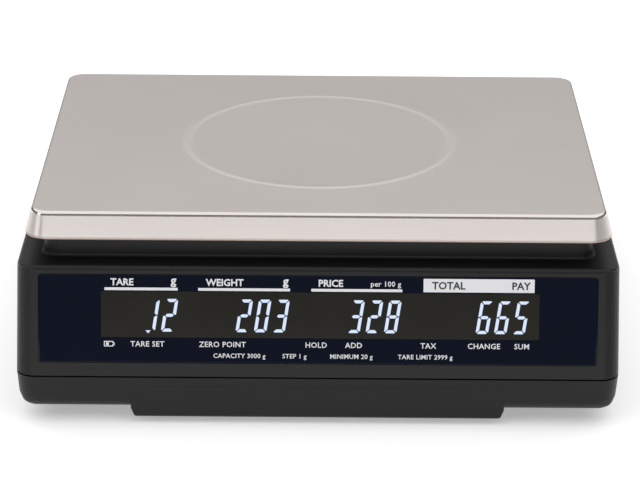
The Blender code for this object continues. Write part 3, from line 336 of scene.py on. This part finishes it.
def lettering(lines, thick=INK_THICK, mesh=None):
    """Closed meshes for lines of (text, x, y of the middle, capital height, alignment)."""
    mesh = mesh or bmesh.new()
    capital_share = 0.7  # of the font's size
    for text, x, y, height, align in lines:
        bold = height > 3.5 * MM
        curve = bpy.data.curves.new("line", "FONT")
        curve.body = text
        curve.size = height / capital_share
        curve.align_x = align
        curve.extrude = thick / 2
        curve.offset = (0.026 if bold else 0.012) * curve.size
        curve.space_character = 1.0 if bold else 1.06
        curve.resolution_u = 2
        made = bpy.data.objects.new("line", curve)
        bpy.context.scene.collection.objects.link(made)
        bpy.context.view_layer.update()
        shape = bpy.data.meshes.new_from_object(made)
        shape.transform(Matrix.Translation((x, y - height / 2, thick / 2)))
        mesh.from_mesh(shape)
        bpy.data.objects.remove(made)
        bpy.data.curves.remove(curve)
        bpy.data.meshes.remove(shape)
    bmesh.ops.remove_doubles(mesh, verts=mesh.verts, dist=0.0005 * MM)
    return mesh


def paint(names, material):
    for name in names:
        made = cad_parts[name]
        made.data.materials.clear()
        made.data.materials.append(material)
        made.data.shade_smooth()
        made.data.set_sharp_from_angle(angle=radians(32))
        made.modifiers.new("flat_faces", "WEIGHTED_NORMAL").keep_sharp = True


# ---------------------------------------------------------------- weighing pan
def pan_profile():
    """The pan's section as (inset from the flat top's edge, height): inside, hem, skirt and bend."""
    sheet, under, corner = 0.8 * MM, PAN_TOP - 0.8 * MM, PAN_BEND + 0.1 * MM
    curl_z, curl_inset = PAN_RIM + HEM_CURL, -2.3 * MM
    hem = [(curl_inset - HEM_CURL * cos(radians(a)), curl_z + HEM_CURL * sin(radians(a)))
           for a in (-90, -65, -40, -20, 0, 14)]
    turn = [PAN_FLARE_LEAN + (pi / 2 - PAN_FLARE_LEAN) * step / 9 for step in range(10)]
    bend = [(corner - PAN_BEND * cos(angle), PAN_TOP - PAN_BEND + PAN_BEND * sin(angle)) for angle in turn]
    low, high = Vector(hem[-1]), Vector(bend[0])
    skirt = [tuple(low.lerp(high, share)) for share in (0.05, 0.5, 0.95)]
    inner = [(sheet + 2.4 * MM, under), (sheet + 1.1 * MM, under - 0.2 * MM),
             (sheet + 0.3 * MM, under - 1 * MM), (sheet - 3.1 * MM, PAN_RIM + 2.2 * MM),
             (-2 * MM, PAN_RIM + 0.5 * MM)]
    return inner + hem + skirt + bend + [(PAN_BEND + 0.3 * MM, PAN_TOP)]


def make_pan():
    corner, side, count = 12, 12, 96
    rings = []
    for inset, z in pan_profile():
        width, depth = PAN_WIDTH - 2 * inset, PAN_DEPTH - 2 * inset
        rings.append(rounded_ring(width, depth, PAN_CORNER - inset, z, corner, side, (0, PAN_Y)))
    first = max(range(count), key=lambda i: rings[-1][i].x - abs(rings[-1][i].y - PAN_Y))
    rings = [ring[first:] + ring[:first] for ring in rings]
    for step in range(13):
        across = 1 - step / 6
        radius, rise = BEAD_RADIUS + across * BEAD_WIDTH / 2, BEAD_RISE * (1 + cos(across * pi)) / 2
        rings.append(circle_ring(radius, PAN_TOP + rise, count, (0, PAN_Y)))
    mesh = loft(rings)
    layer = mesh.loops.layers.uv.new("brushing")
    for face in mesh.faces:
        face.normal_update()
        n = face.normal
        for corner_loop in face.loops:
            x, y, z = corner_loop.vert.co
            if abs(n.z) > 0.7:
                corner_loop[layer].uv = (x, y)
            elif abs(n.y) > abs(n.x):
                corner_loop[layer].uv = (x, z)
            else:
                corner_loop[layer].uv = (y, z)
    piece("pressed_pan", mesh, STEEL, "pan", replaces=("weighing_pan",), sharp=50)


make_pan()

# ---------------------------------------------------------------- windows and displays
SLANT = tan(radians(9))
LIT_RISE = 0.05 * MM
UNLIT_RISE = 0.02 * MM
SEGMENTS = {"0": "abcdef", "1": "bc", "2": "abged", "3": "abgcd", "5": "afgcd", "6": "afgedc",
            "8": "abcdefg"}
# each number, and its right end from the middle in millimetres: tare, weight, price and total
READINGS_FRONT = (("12", -80.4), ("203", -16.2), ("328", 48.2), ("665", 122.2))
READINGS_PANEL = (("12", -81.2), ("203", -16.9), ("328", 48.2), ("665", 122.2))


def segment_outlines(width, height, stroke):
    """Outline of each bar of an upright digit whose lower left corner is the origin."""
    gap, nose, t = 0.2 * stroke, 0.5 * stroke, stroke
    half = height / 2
    left_up = [(0, height - nose - gap), (0, half + gap), (t / 2, half + gap), (t, half + t / 2 + gap),
               (t, height - t - gap), (nose / 2, height - nose / 2 - gap)]
    mirror = lambda shape: [(width - x, y) for x, y in shape][::-1]
    flip = lambda shape: [(x, height - y) for x, y in shape][::-1]
    top_left = [(nose + gap, height), (nose / 2 + gap, height - nose / 2), (t + gap, height - t)]
    middle_left = [(t + gap, half + t / 2), (t / 2 + gap, half), (t + gap, half - t / 2)]
    top, middle = top_left + mirror(top_left), middle_left + mirror(middle_left)
    return {"a": top, "d": flip(top), "g": middle, "f": left_up, "b": mirror(left_up), "e": flip(left_up),
            "c": mirror(flip(left_up))}


def digits(text, right, low, width, height, stroke, pitch, mesh, unlit, cells):
    """Bars of a right-aligned number; the rest of its cells' bars go in unlit."""
    outlines = segment_outlines(width, height, stroke)
    for cell in range(cells):
        shown = SEGMENTS[text[-1 - cell]] if cell < len(text) else ""
        left = right - cell * pitch - width - height * SLANT
        for bar, outline in outlines.items():
            shape = [(left + x + y * SLANT, low + y) for x, y in outline]
            if bar in shown:
                prism(shape, 0, LIT_RISE, mesh)
            else:
                prism(shape, 0, UNLIT_RISE, unlit)


def make_window(side, place, top, height, lens_top, lens_width, lens_height):
    """The pane, with its clear lens over the display let in flush."""
    thick, edge, lens_corner = 1.5 * MM, 0.35 * MM, 0.6 * MM
    centre = (0, -top - height / 2)
    lens_centre = (LENS_SHIFT, -lens_top - lens_height / 2)
    outer = lambda inset, z: rounded_ring(WINDOW_WIDTH - 2 * inset, height - 2 * inset,
                                          WINDOW_CORNER - inset, z, 8, 1, centre)
    inner = lambda z: rounded_ring(lens_width, lens_height, lens_corner, z, 8, 1, lens_centre)
    rings = [inner(-thick), outer(0, -thick), outer(0, -edge), outer(edge * 0.3, -edge * 0.3),
             outer(edge, 0), outer(1.1 * edge, 0), inner(0)]
    piece(side + "_pane", loft(rings, closed=True), NAVY, "case", place,
          (side + "_window",))
    room = 0.03 * MM
    lens = slab(lens_width - 2 * room, lens_height - 2 * room, lens_corner, -thick, -0.02 * MM, 0.05 * MM,
                lens_centre)
    piece(side + "_lens", lens, LCD_GLASS, "case", place)


def make_readings(side, place, readings, low, width, height, stroke, pitch, cells, extra=None):
    """The lit numbers of one display, with the unlit bars round them; extra is one more lit outline."""
    lit_bars, faint = bmesh.new(), bmesh.new()
    for (text, right), count in zip(readings, cells):
        digits(text, right * MM, low, width, height, stroke, pitch, lit_bars, faint, count)
    if extra:
        prism(extra, 0, LIT_RISE, lit_bars)
    piece(side + "_lit_bars", lit_bars, LIT, "case", place)
    piece(side + "_faint_bars", faint, FAINT, "case", place)


def underlines(spans, y, wide, ink):
    """Printed rules between pairs of x in millimetres."""
    for left, right in spans:
        middle = ((left + right) / 2 * MM, y)
        slab((right - left) * MM, wide, 0.1 * MM, 0, INK_THICK, 0.01 * MM, middle, ink)


def battery_mark(at, ink):
    """An outlined battery with its two bars."""
    slab(1.5 * MM, 1.8 * MM, 0.1 * MM, 0, INK_THICK, 0.01 * MM, (-121.4 * MM, at(40.3)), ink)
    left, neck, right, line = -123.4, -118.0, -117.2, 0.5
    case = [(left, 38.7), (neck, 38.7), (neck, 39.5), (right, 39.5),
            (right, 41.1), (neck, 41.1), (neck, 41.9), (left, 41.9)]
    hole = [(left + line, 38.7 + line), (neck - line, 38.7 + line), (neck - line, 39.5 + line),
            (right - line, 39.5 + line), (right - line, 41.1 - line), (neck - line, 41.1 - line),
            (neck - line, 41.9 - line), (left + line, 41.9 - line)]
    rings = [[Vector((x * MM, at(y), z)) for x, y in shape]
             for shape, z in ((case, 0), (case, INK_THICK), (hole, INK_THICK), (hole, 0))]
    loft(rings, closed=True, mesh=ink)


def make_front_graphics():
    at = lambda mm: -FRONT_WINDOW_TOP - mm * MM
    pointer = [(x * MM, at(y)) for x, y in ((-99.4, 32.3), (-96.4, 32.3), (-97.9, 34.1))]
    make_readings("customer", FRONT, READINGS_FRONT, at(33.0), 7.2 * MM, 19.1 * MM, 1.8 * MM, 10.6 * MM,
                  (4, 5, 5, 6), pointer)
    ink = bmesh.new()
    underlines(((-123.0, -80.9), (-69.1, -16.2), (-4.0, 48.4)), at(8.2), 1.6 * MM, ink)
    slab(63.9 * MM, 7.8 * MM, 0.3 * MM, 0, INK_THICK, 0.01 * MM, (92.5 * MM, at(5.0)), ink)
    title, legend, rating = (4.1, 3.9, "LEFT"), (40.2, 3.1, "CENTER"), (46.8, 2.6, "CENTER")
    lines = [("TARE", -119.5, *title), ("g", -81.8, 2.9, 4.9, "RIGHT"),
             ("WEIGHT", -64.5, *title), ("g", -17.2, 2.9, 4.9, "RIGHT"),
             ("PRICE", 0.0, *title), ("per 100 g", 47.6, 4.3, 3.0, "RIGHT"),
             ("TARE SET", -98.3, *legend), ("ZERO POINT", -55.0, *legend), ("HOLD", -1.0, *legend),
             ("ADD", 20.7, *legend), ("TAX", 63.7, *legend), ("CHANGE", 95.8, *legend),
             ("SUM", 117.7, *legend),
             ("CAPACITY 3000 g", -45.3, *rating), ("STEP 1 g", -13.5, *rating),
             ("MINIMUM 20 g", 19.3, *rating), ("TARE LIMIT 2999 g", 62.0, *rating)]
    lettering([(text, x * MM, at(y), high * MM, align) for text, x, y, high, align in lines], mesh=ink)
    battery_mark(at, ink)
    piece("customer_white_print", ink, WHITE_INK, "case", FRONT)
    dark = lettering([("TOTAL", 65.5 * MM, at(5.0), 4.2 * MM, "LEFT"),
                      ("PAY", 122.0 * MM, at(5.0), 4.2 * MM, "RIGHT")])
    bmesh.ops.translate(dark, verts=dark.verts, vec=(0, 0, INK_THICK + 0.005 * MM))
    piece("customer_box_print", dark, NAVY_INK, "case", FRONT)


def make_panel_graphics():
    at = lambda mm: -PANEL_WINDOW_TOP - mm * MM
    make_readings("operator", PANEL, READINGS_PANEL, at(27.6), 6.2 * MM, 16.0 * MM, 1.6 * MM, 10.4 * MM,
                  (4, 5, 5, 6))
    ink = bmesh.new()
    underlines(((-124.3, -81.7), (-69.9, -16.9), (-4.7, 48.4), (60.4, 124.8)), at(7.2), 1.0 * MM, ink)
    lines = (("TARE g", -124.0), ("WEIGHT g", -69.5), ("PRICE / 100 g", -4.4), ("TOTAL PRICE", 60.8))
    lettering([(text, x * MM, at(4.0), 3.0 * MM, "LEFT") for text, x in lines], mesh=ink)
    piece("operator_white_print", ink, WHITE_INK, "case", PANEL)


make_window("customer", FRONT, FRONT_WINDOW_TOP, FRONT_WINDOW_HEIGHT, *FRONT_LENS)
make_window("operator", PANEL, PANEL_WINDOW_TOP, PANEL_WINDOW_HEIGHT, *PANEL_LENS)
make_front_graphics()
make_panel_graphics()

# ---------------------------------------------------------------- keyboard
KEY_PITCH = (26 * MM, 13.6 * MM)
KEY_SIZE = (22.5 * MM, 11 * MM)
KEY_RISE = 2.8 * MM
KEYS_RIGHT = 153 * MM
KEYS_UNDER_WINDOW = 5.5 * MM
KEY_ROWS = (
    (("power", "ON", KEY_DARK), ("7", "7", KEY_GREY), ("8", "8", KEY_GREY), ("9", "9", KEY_GREY),
     ("clear", "C", KEY_RED)),
    (("light", "LIGHT", KEY_DARK), ("4", "4", KEY_GREY), ("5", "5", KEY_GREY), ("6", "6", KEY_GREY),
     ("tare", "TARE", KEY_BLUE)),
    (("deposit", "HOLD", KEY_DARK), ("1", "1", KEY_GREY), ("2", "2", KEY_GREY), ("3", "3", KEY_GREY),
     ("zero", "ZERO", KEY_BLUE)),
    (("tax", "%", KEY_DARK), ("0", "0", KEY_GREY), ("00", "00", KEY_GREY), ("add", "+", KEY_DARK),
     ("total", "SUM", KEY_BLUE)),
)


def keycap(x, y):
    """A cap with drafted sides, rounded shoulders and a shallow dish for the fingertip."""
    wide, tall = KEY_SIZE
    flange, low = -3.1 * MM, -4.3 * MM
    # growth of the width, height and corner radius of each ring
    skirt = [(2.0, low, 1.0), (2.0, flange, 1.0), (0, flange + 0.01 * MM, 1.4), (0, 0.6 * MM, 1.4)]
    shoulder = [(-0.9, KEY_RISE - 0.7 * MM, 1.6), (-1.1, KEY_RISE - 0.35 * MM, 1.6),
                (-1.5, KEY_RISE - 0.08 * MM, 1.6), (-2.1, KEY_RISE, 1.5)]
    dish = [(-3.2, KEY_RISE - 0.04 * MM, 1.4), (-5.4, KEY_RISE - 0.2 * MM, 1.0),
            (-8.0, KEY_RISE - 0.27 * MM, 0.6)]
    return loft([rounded_ring(wide + grow * MM, tall + grow * MM, radius * MM, z, 5, 1, (x, y))
                 for grow, z, radius in skirt + shoulder + dish])


def make_keys():
    last_x = KEYS_RIGHT - KEY_SIZE[0] / 2
    first_y = -PANEL_WINDOW_TOP - PANEL_WINDOW_HEIGHT - KEYS_UNDER_WINDOW - KEY_SIZE[1] / 2
    print_thick = 0.3 * MM
    for row, keys in enumerate(KEY_ROWS):
        for column, (name, legend, colour) in enumerate(keys):
            x = last_x - (4 - column) * KEY_PITCH[0]
            y = first_y - row * KEY_PITCH[1]
            body = "key_" + name
            piece("keycap_" + name, keycap(x, y), colour, body, PANEL, (body,), 40)
            height = 4.6 * MM if len(legend) < 3 else 2.9 * MM
            ink = NAVY_INK if colour == KEY_GREY else WHITE_INK
            text = lettering([(legend, x, y, height, "CENTER")], print_thick)
            bmesh.ops.translate(text, verts=text.verts, vec=(0, 0, KEY_RISE - 0.02 * MM - print_thick))
            piece("legend_" + name, text, ink, body, PANEL)


def make_preset_sheet():
    left, right, top, bottom = -161 * MM, 20.5 * MM, -43.5 * MM, -95.3 * MM
    centre = ((left + right) / 2, (top + bottom) / 2)
    sheet = slab(right - left, top - bottom, 1.5 * MM, -0.6 * MM, 0, 0.15 * MM, centre)
    piece("preset_film", sheet, GREY_FILM, "case", PANEL, ("preset_sheet",))
    pads, numbers, number = bmesh.new(), [], 0
    for row in range(4):
        for column in range(7):
            number += 1
            x = left + 14 * MM + column * 25.6 * MM
            y = -49 * MM - row * KEY_PITCH[1]
            slab(23 * MM, 10.4 * MM, 1.6 * MM, -0.02 * MM, 0.22 * MM, 0.15 * MM, (x, y), pads)
            numbers.append((str(number), x - 9.6 * MM, y + 2.6 * MM, 2.4 * MM, "LEFT"))
    piece("preset_pads", pads, PAD_FILM, "case", PANEL)
    text = lettering(numbers)
    bmesh.ops.translate(text, verts=text.verts, vec=(0, 0, 0.2 * MM))
    piece("preset_numbers", text, NAVY_INK, "case", PANEL)


make_keys()
make_preset_sheet()

# ---------------------------------------------------------------- small hardware
def wavy_ring(radius, z, count, centre=(0, 0), depth=0.0, lobes=20):
    """A circle whose edge is cut back in lobes, for a knurled rim."""
    points = []
    for i in range(count):
        angle = 2 * pi * i / count
        reach = radius - depth * (1 - cos(lobes * angle)) / 2
        points.append(Vector((centre[0] + reach * cos(angle), centre[1] + reach * sin(angle), z)))
    return points


def turned(steps, count=48, centre=(0, 0), closed=False):
    """A body of revolution from (radius, height) steps in millimetres."""
    return loft([circle_ring(r * MM, z * MM, count, centre) for r, z in steps], closed)


def thread(radius, low, high, pitch, depth, centre, mesh, count=24, rings_in_turn=8):
    """A screw thread: rings up a shank whose radius follows the helix."""
    steps = ceil((high - low) / pitch * rings_in_turn)
    rings = []
    for step in range(steps + 1):
        z = low + (high - low) * step / steps
        ring = []
        for i in range(count):
            phase = ((z - low) / pitch - i / count) % 1
            reach = radius - depth * abs(2 * phase - 1)
            angle = 2 * pi * i / count
            ring.append(Vector((centre[0] + reach * cos(angle), centre[1] + reach * sin(angle), z)))
        rings.append(ring)
    return loft(rings, mesh=mesh)


def drive_ring(kind, across, z, count=48):
    """The mouth of a hexagon socket or a cross recess, with as many points as the round head."""
    points = []
    for i in range(count):
        angle = 2 * pi * i / count
        if kind == "hexagon":
            off_flat = (angle + pi / 6) % (pi / 3) - pi / 6
            reach = across / 2 / cos(off_flat)
        else:
            off_arm = abs((angle + pi / 4) % (pi / 2) - pi / 4)
            arm = 0.17 * across
            reach = min(across / 2 / cos(off_arm), arm / max(sin(off_arm), 0.01))
        points.append(Vector((reach * cos(angle), reach * sin(angle), z)))
    return points


def middle_of(node_name):
    low, high = (Vector(corner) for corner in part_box(node_name))
    return low, high, (low + high) / 2


def make_screw(node_name, body, head_up, head, drive, across, shank, pitch):
    """A screw in place of its CAD solid: domed cross-recess head, or a socket cap."""
    low, high, middle = middle_of(node_name)
    radius, length, count = (high.x - low.x) / 2, high.z - low.z - head, 48
    knurl = 0.0 if drive == "cross" else 0.2 * MM
    dome = 0.42 * head if drive == "cross" else 0.08 * head
    floor_across = (0.45 if drive == "cross" else 0.9) * across
    rings = [wavy_ring(radius, z, count, (0, 0), knurl, 24) for z in (0, 0.1 * head, head - dome)]
    for step in (1, 2, 3):
        angle = step / 3 * pi / 2
        reach, z = radius - 0.9 * dome * (1 - cos(angle)), head - dome + dome * sin(angle)
        rings.append(circle_ring(reach, z, count))
    rings.append(circle_ring(0.5 * across + 0.25 * MM, head, count))
    rings += [drive_ring(drive, across, head), drive_ring(drive, across, head - 0.1 * MM),
              drive_ring(drive, floor_across, 0.45 * head)]
    mesh = loft(rings)
    thread(shank, -length, 0.05 * MM, pitch, 0.28 * pitch, (0, 0), mesh)
    seat = high.z - head if head_up else low.z + head
    place = Matrix.Translation((middle.x, middle.y, seat))
    if not head_up:
        place = place @ Matrix.Rotation(pi, 4, "X")
    name = node_name.replace("screw", "fastener").replace("bolt", "cap_bolt")
    piece(name, mesh, ZINC, body, place, (node_name,))


def make_foot(number):
    """A rubber pad with ribs round its sole, under a scalloped wheel on a threaded stud."""
    stud, pad = f"foot_stud_{number}", f"foot_pad_{number}"
    _, high, middle = middle_of(stud)
    centre = (middle.x, middle.y)
    # radius, height and depth of the scallops, in millimetres
    hub = [(4.9, 1.7, 0), (5.0, 1.9, 0), (5.0, 3.9, 0)]
    rim = [(12.9, 3.95, 0.5), (13.8, 4.6, 0.9), (13.95, 5.2, 1.0), (13.95, 7.3, 1.0), (13.8, 7.9, 0.9),
           (12.9, 8.45, 0.5)]
    top = [(11.6, 8.45, 0), (11.1, 7.7, 0), (7.4, 7.7, 0), (6.9, 8.45, 0), (5.4, 8.5, 0), (4.0, 8.9, 0)]
    mesh = loft([wavy_ring(r * MM, z * MM, 160, centre, cut * MM) for r, z, cut in hub + rim + top])
    thread(3.98 * MM, 8.6 * MM, high.z, 1.25 * MM, 0.5 * MM, centre, mesh)
    piece(f"foot_wheel_{number}", mesh, DOOR_ABS, stud, replaces=(stud,))
    under = [(1.5, 0.5), (5.8, 0.45), (6.2, 0.0), (7.9, 0.0), (8.3, 0.45), (9.0, 0.45), (9.4, 0.0),
             (10.7, 0.0), (11.4, 0.25), (11.85, 0.8)]
    wall = [(12.0, 1.4), (11.95, 3.1), (11.7, 3.5), (11.2, 3.6)]
    cup = [(5.7, 3.6), (5.35, 3.4), (5.3, 1.4), (1.5, 1.35)]
    sole = turned(under + wall + cup, 64, centre)
    piece(f"rubber_foot_{number}", sole, RUBBER, pad, replaces=(pad,))


def make_support_cushions():
    """Rubber caps on the posts that carry the pan."""
    _, high, middle = middle_of("pan_support")
    from_edge = 20 * MM
    top = high.z / MM
    reach_x, reach_y = high.x - middle.x - from_edge, high.y - middle.y - from_edge
    for number, (sx, sy) in enumerate(((-1, -1), (1, -1), (-1, 1), (1, 1)), 1):
        centre = (middle.x + sx * reach_x, middle.y + sy * reach_y)
        cap = turned([(10.4, top - 5.5), (11.0, top - 5.1), (11.0, top - 4.0), (10.6, top - 3.6),
                      (10.6, top - 0.9), (10.2, top - 0.2), (9.4, top + 0.14), (4.0, top + 0.2)],
                     48, centre)
        piece(f"support_cushion_{number}", cap, RUBBER, "platform")


def make_level():
    """Bull's-eye level: a ring round tinted spirit, with its mark and the bubble."""
    low, high, middle = middle_of("bubble_level")
    centre, flange = (middle.x, middle.y), (high.x - low.x) / 2 / MM
    bottom, top = low.z / MM, high.z / MM
    bezel = turned([(7.9, bottom), (7.9, top - 1.25), (flange, top - 1.2), (flange, top - 0.3),
                    (flange - 0.3, top), (6.5, top), (6.2, top - 0.25), (6.2, top - 1.4),
                    (5.5, top - 1.6), (5.5, bottom)], 64, centre, closed=True)
    piece("level_bezel", bezel, DOOR_ABS, "case", replaces=("bubble_level",))
    spirit = turned([(6.1, bottom + 1.0), (6.1, top - 0.9), (5.7, top - 0.6), (4.0, top - 0.4),
                     (1.6, top - 0.32)], 48, centre)
    piece("level_spirit", spirit, VIAL, "case")
    mark = turned([(2.5, top - 0.5), (2.9, top - 0.5), (2.9, top - 0.3), (2.5, top - 0.3)],
                  48, centre, closed=True)
    piece("level_mark", mark, NAVY_INK, "case")
    bubble = turned([(1.9, top - 0.4), (1.8, top - 0.28), (1.4, top - 0.2), (0.5, top - 0.16)], 32, centre)
    piece("level_air", bubble, BUBBLE, "case")


def make_battery(number):
    """A round cell: plated can with a rolled rim and button, in a printed wrap with a coloured band."""
    low, high, middle = middle_of(f"battery_cell_{number}")
    along = 1 if number <= 3 else -1
    start = low.x if along > 0 else high.x
    place = Matrix.Translation((start, middle.y, middle.z)) @ Matrix.Rotation(along * pi / 2, 4, "Y")
    can = turned([(11, 0.15), (15.2, 0.1), (16.2, 0.4), (16.6, 1.0), (16.6, 59.0), (16.1, 59.5),
                  (15.2, 59.65), (14.4, 59.2), (5.2, 59.2), (4.7, 59.6), (4.6, 60.9), (4.2, 61.15),
                  (2.0, 61.2)])
    piece(f"cell_can_{number}", can, TIN, "case", place, (f"battery_cell_{number}",))
    wrap = turned([(15.6, 0.35), (16.7, 0.3), (17.0, 0.8), (17.05, 45.0), (16.5, 45.0)])
    piece(f"cell_wrap_{number}", wrap, WRAP, "case", place)
    band = turned([(16.5, 45.05), (17.05, 45.05), (17.0, 58.7), (16.7, 59.3), (15.6, 59.25)])
    piece(f"cell_band_{number}", band, BAND, "case", place)


def make_spring():
    """A conical spring of round wire that narrows towards the cell."""
    turns, steps_in_turn, wire, length = 3, 16, 0.45 * MM, 4 * MM
    wide, narrow = 7.5, 4.0
    rings = []
    for step in range(turns * steps_in_turn + 1):
        share = step / (turns * steps_in_turn)
        angle, radius = 2 * pi * turns * share, (wide - (wide - narrow) * share) * MM
        centre = Vector((radius * cos(angle), radius * sin(angle), -length * (1 - share) - wire))
        out, up = Vector((cos(angle), sin(angle), 0)), Vector((0, 0, 1))
        rings.append([centre + wire * (out * cos(t) + up * sin(t))
                      for t in (2 * pi * i / 8 for i in range(8))])
    return loft(rings)


def make_contacts():
    """A conical spring for each row's flat end and a plate for its button."""
    for row, (first_cell, along) in enumerate(((1, 1), (4, -1)), 1):
        low, high, middle = middle_of(f"battery_cell_{first_cell}")
        flat_end = low.x if along > 0 else high.x
        turn = Matrix.Rotation(along * pi / 2, 4, "Y")
        place = Matrix.Translation((flat_end, middle.y, middle.z)) @ turn
        piece(f"contact_spring_{row}", make_spring(), TIN, "case", place)
        plate = slab(15 * MM, 15 * MM, 1 * MM, 0, 0.4 * MM, 0.1 * MM)
        place = (Matrix.Translation((-flat_end, middle.y, middle.z)) @ turn.inverted()
                 @ Matrix.Translation((0, 0, -2 * MM)))
        piece(f"contact_plate_{row}", plate, TIN, "case", place)


def make_door_grip():
    """Finger ribs and an arrow on the sliding door, on the side that faces the table."""
    low, high, middle = middle_of("battery_door")
    mesh = bmesh.new()
    for rib in range(7):
        centre = (0, -14 * MM - rib * 3 * MM)
        slab(46 * MM, 1.5 * MM, 0.7 * MM, -0.3 * MM, 0.6 * MM, 0.35 * MM, centre, mesh)
    arrow = [(x * MM, y * MM) for x, y in ((-7, -10), (7, -10), (0, -2))]
    prism(arrow, -0.3 * MM, 0.9 * MM, mesh)
    place = Matrix.Translation((middle.x, high.y - 40 * MM, low.z)) @ Matrix.Rotation(pi, 4, "X")
    place = place @ Matrix.Rotation(pi, 4, "Z")
    piece("door_grip", mesh, DOOR_ABS, "battery_door", place)


def make_socket_metal():
    """The inlet's centre pin and the sprung sleeve round its bore."""
    _, high, middle = middle_of("dc_socket")
    place = Matrix.Translation((high.x, middle.y, middle.z)) @ Matrix.Rotation(pi / 2, 4, "Y")
    pin = turned([(1.12, -9.9), (1.12, -1.3), (0.9, -0.9), (0.4, -0.75)], 24)
    piece("inlet_pin", pin, TIN, "case", place)
    sleeve = turned([(3.18, -9.8), (3.18, -0.4), (2.85, -0.7), (2.85, -9.8)], 40, closed=True)
    piece("inlet_sleeve", sleeve, TIN, "case", place)


for number in range(1, 5):
    make_foot(number)
    make_screw(f"case_screw_{number}", "case", False, 3 * MM, "cross", 4.2 * MM, 1.9 * MM, 1.4 * MM)
for number in (1, 2):
    make_screw(f"live_end_screw_{number}", "platform", True, 5 * MM, "hexagon", 4.6 * MM, 3 * MM, 1 * MM)
    make_screw(f"fixed_end_bolt_{number}", "case", False, 5 * MM, "hexagon", 4.6 * MM, 3 * MM, 1 * MM)
for number in range(1, 7):
    make_battery(number)
make_contacts()
make_support_cushions()
make_level()
make_door_grip()
make_socket_metal()

# ---------------------------------------------------------------- pieces that keep their CAD shape
paint(["upper_case", "lower_case"], ABS)
paint(["battery_door", "dc_socket"], DOOR_ABS)
paint(["keypad_mat"], RUBBER)
paint(["keypad_board", "main_board"], BOARD)
paint(["pan_support", "chassis"], CAST)
paint(["load_cell"], BAR)
paint(["overload_stop"], ZINC)
paint(["customer_lcd", "operator_lcd"], LCD_GLASS)


# ---------------------------------------------------------------- studio
def make_studio():
    data = bpy.data.meshes.new("floor")
    half = 8
    corners = [(-half, -half, 0), (half, -half, 0), (half, half, 0), (-half, half, 0)]
    data.from_pydata(corners, [], [(0, 1, 2, 3)])
    floor = bpy.data.objects.new("floor", data)
    white, _, shader = finish("lit_white_paper", "f4f4f4", 0.9)
    shader.inputs["Emission Color"].default_value = (1, 1, 1, 1)
    shader.inputs["Emission Strength"].default_value = 0.37
    data.materials.append(white)
    bpy.context.scene.collection.objects.link(floor)

    world = bpy.data.worlds.new("studio")
    bpy.context.scene.world = world
    world.use_nodes = True
    world.node_tree.nodes["Background"].inputs["Color"].default_value = (1, 1, 1, 1)
    world.node_tree.nodes["Background"].inputs["Strength"].default_value = 0.2
    bpy.context.scene.view_settings.view_transform = "Standard"

    for name, place, size, power in (
        ("overhead_softbox", (0, 0.1, 2.6), (7.4, 6.4), 155),
        ("left_softbox", (-2.3, -1.3, 0.9), (1.0, 1.2), 6),
        ("front_strip", (0, -4.2, 0.12), (6.0, 0.24), 34),
        ("back_card", (0, 3.4, 1.6), (5.0, 2.2), 10),
    ):
        light = bpy.data.lights.new(name, "AREA")
        light.shape = "RECTANGLE"
        light.size, light.size_y = size
        light.energy = power
        made = bpy.data.objects.new(name, light)
        made.location = place
        made.rotation_euler = (Vector((0, 0, 0.08)) - Vector(place)).to_track_quat("-Z", "Y").to_euler()
        bpy.context.scene.collection.objects.link(made)

    camera = bpy.data.cameras.new("camera")
    camera.lens = 143.1
    camera.sensor_width = 36
    made = bpy.data.objects.new("camera", camera)
    pitch, roll = radians(22.41), 0.0075
    made.matrix_world = (Matrix.Translation((0.0008, -1.5167, 0.665))
                         @ Matrix.Rotation(pi / 2 - pitch, 4, "X") @ Matrix.Rotation(roll, 4, "Z"))
    bpy.context.scene.collection.objects.link(made)
    bpy.context.scene.camera = made


make_studio()
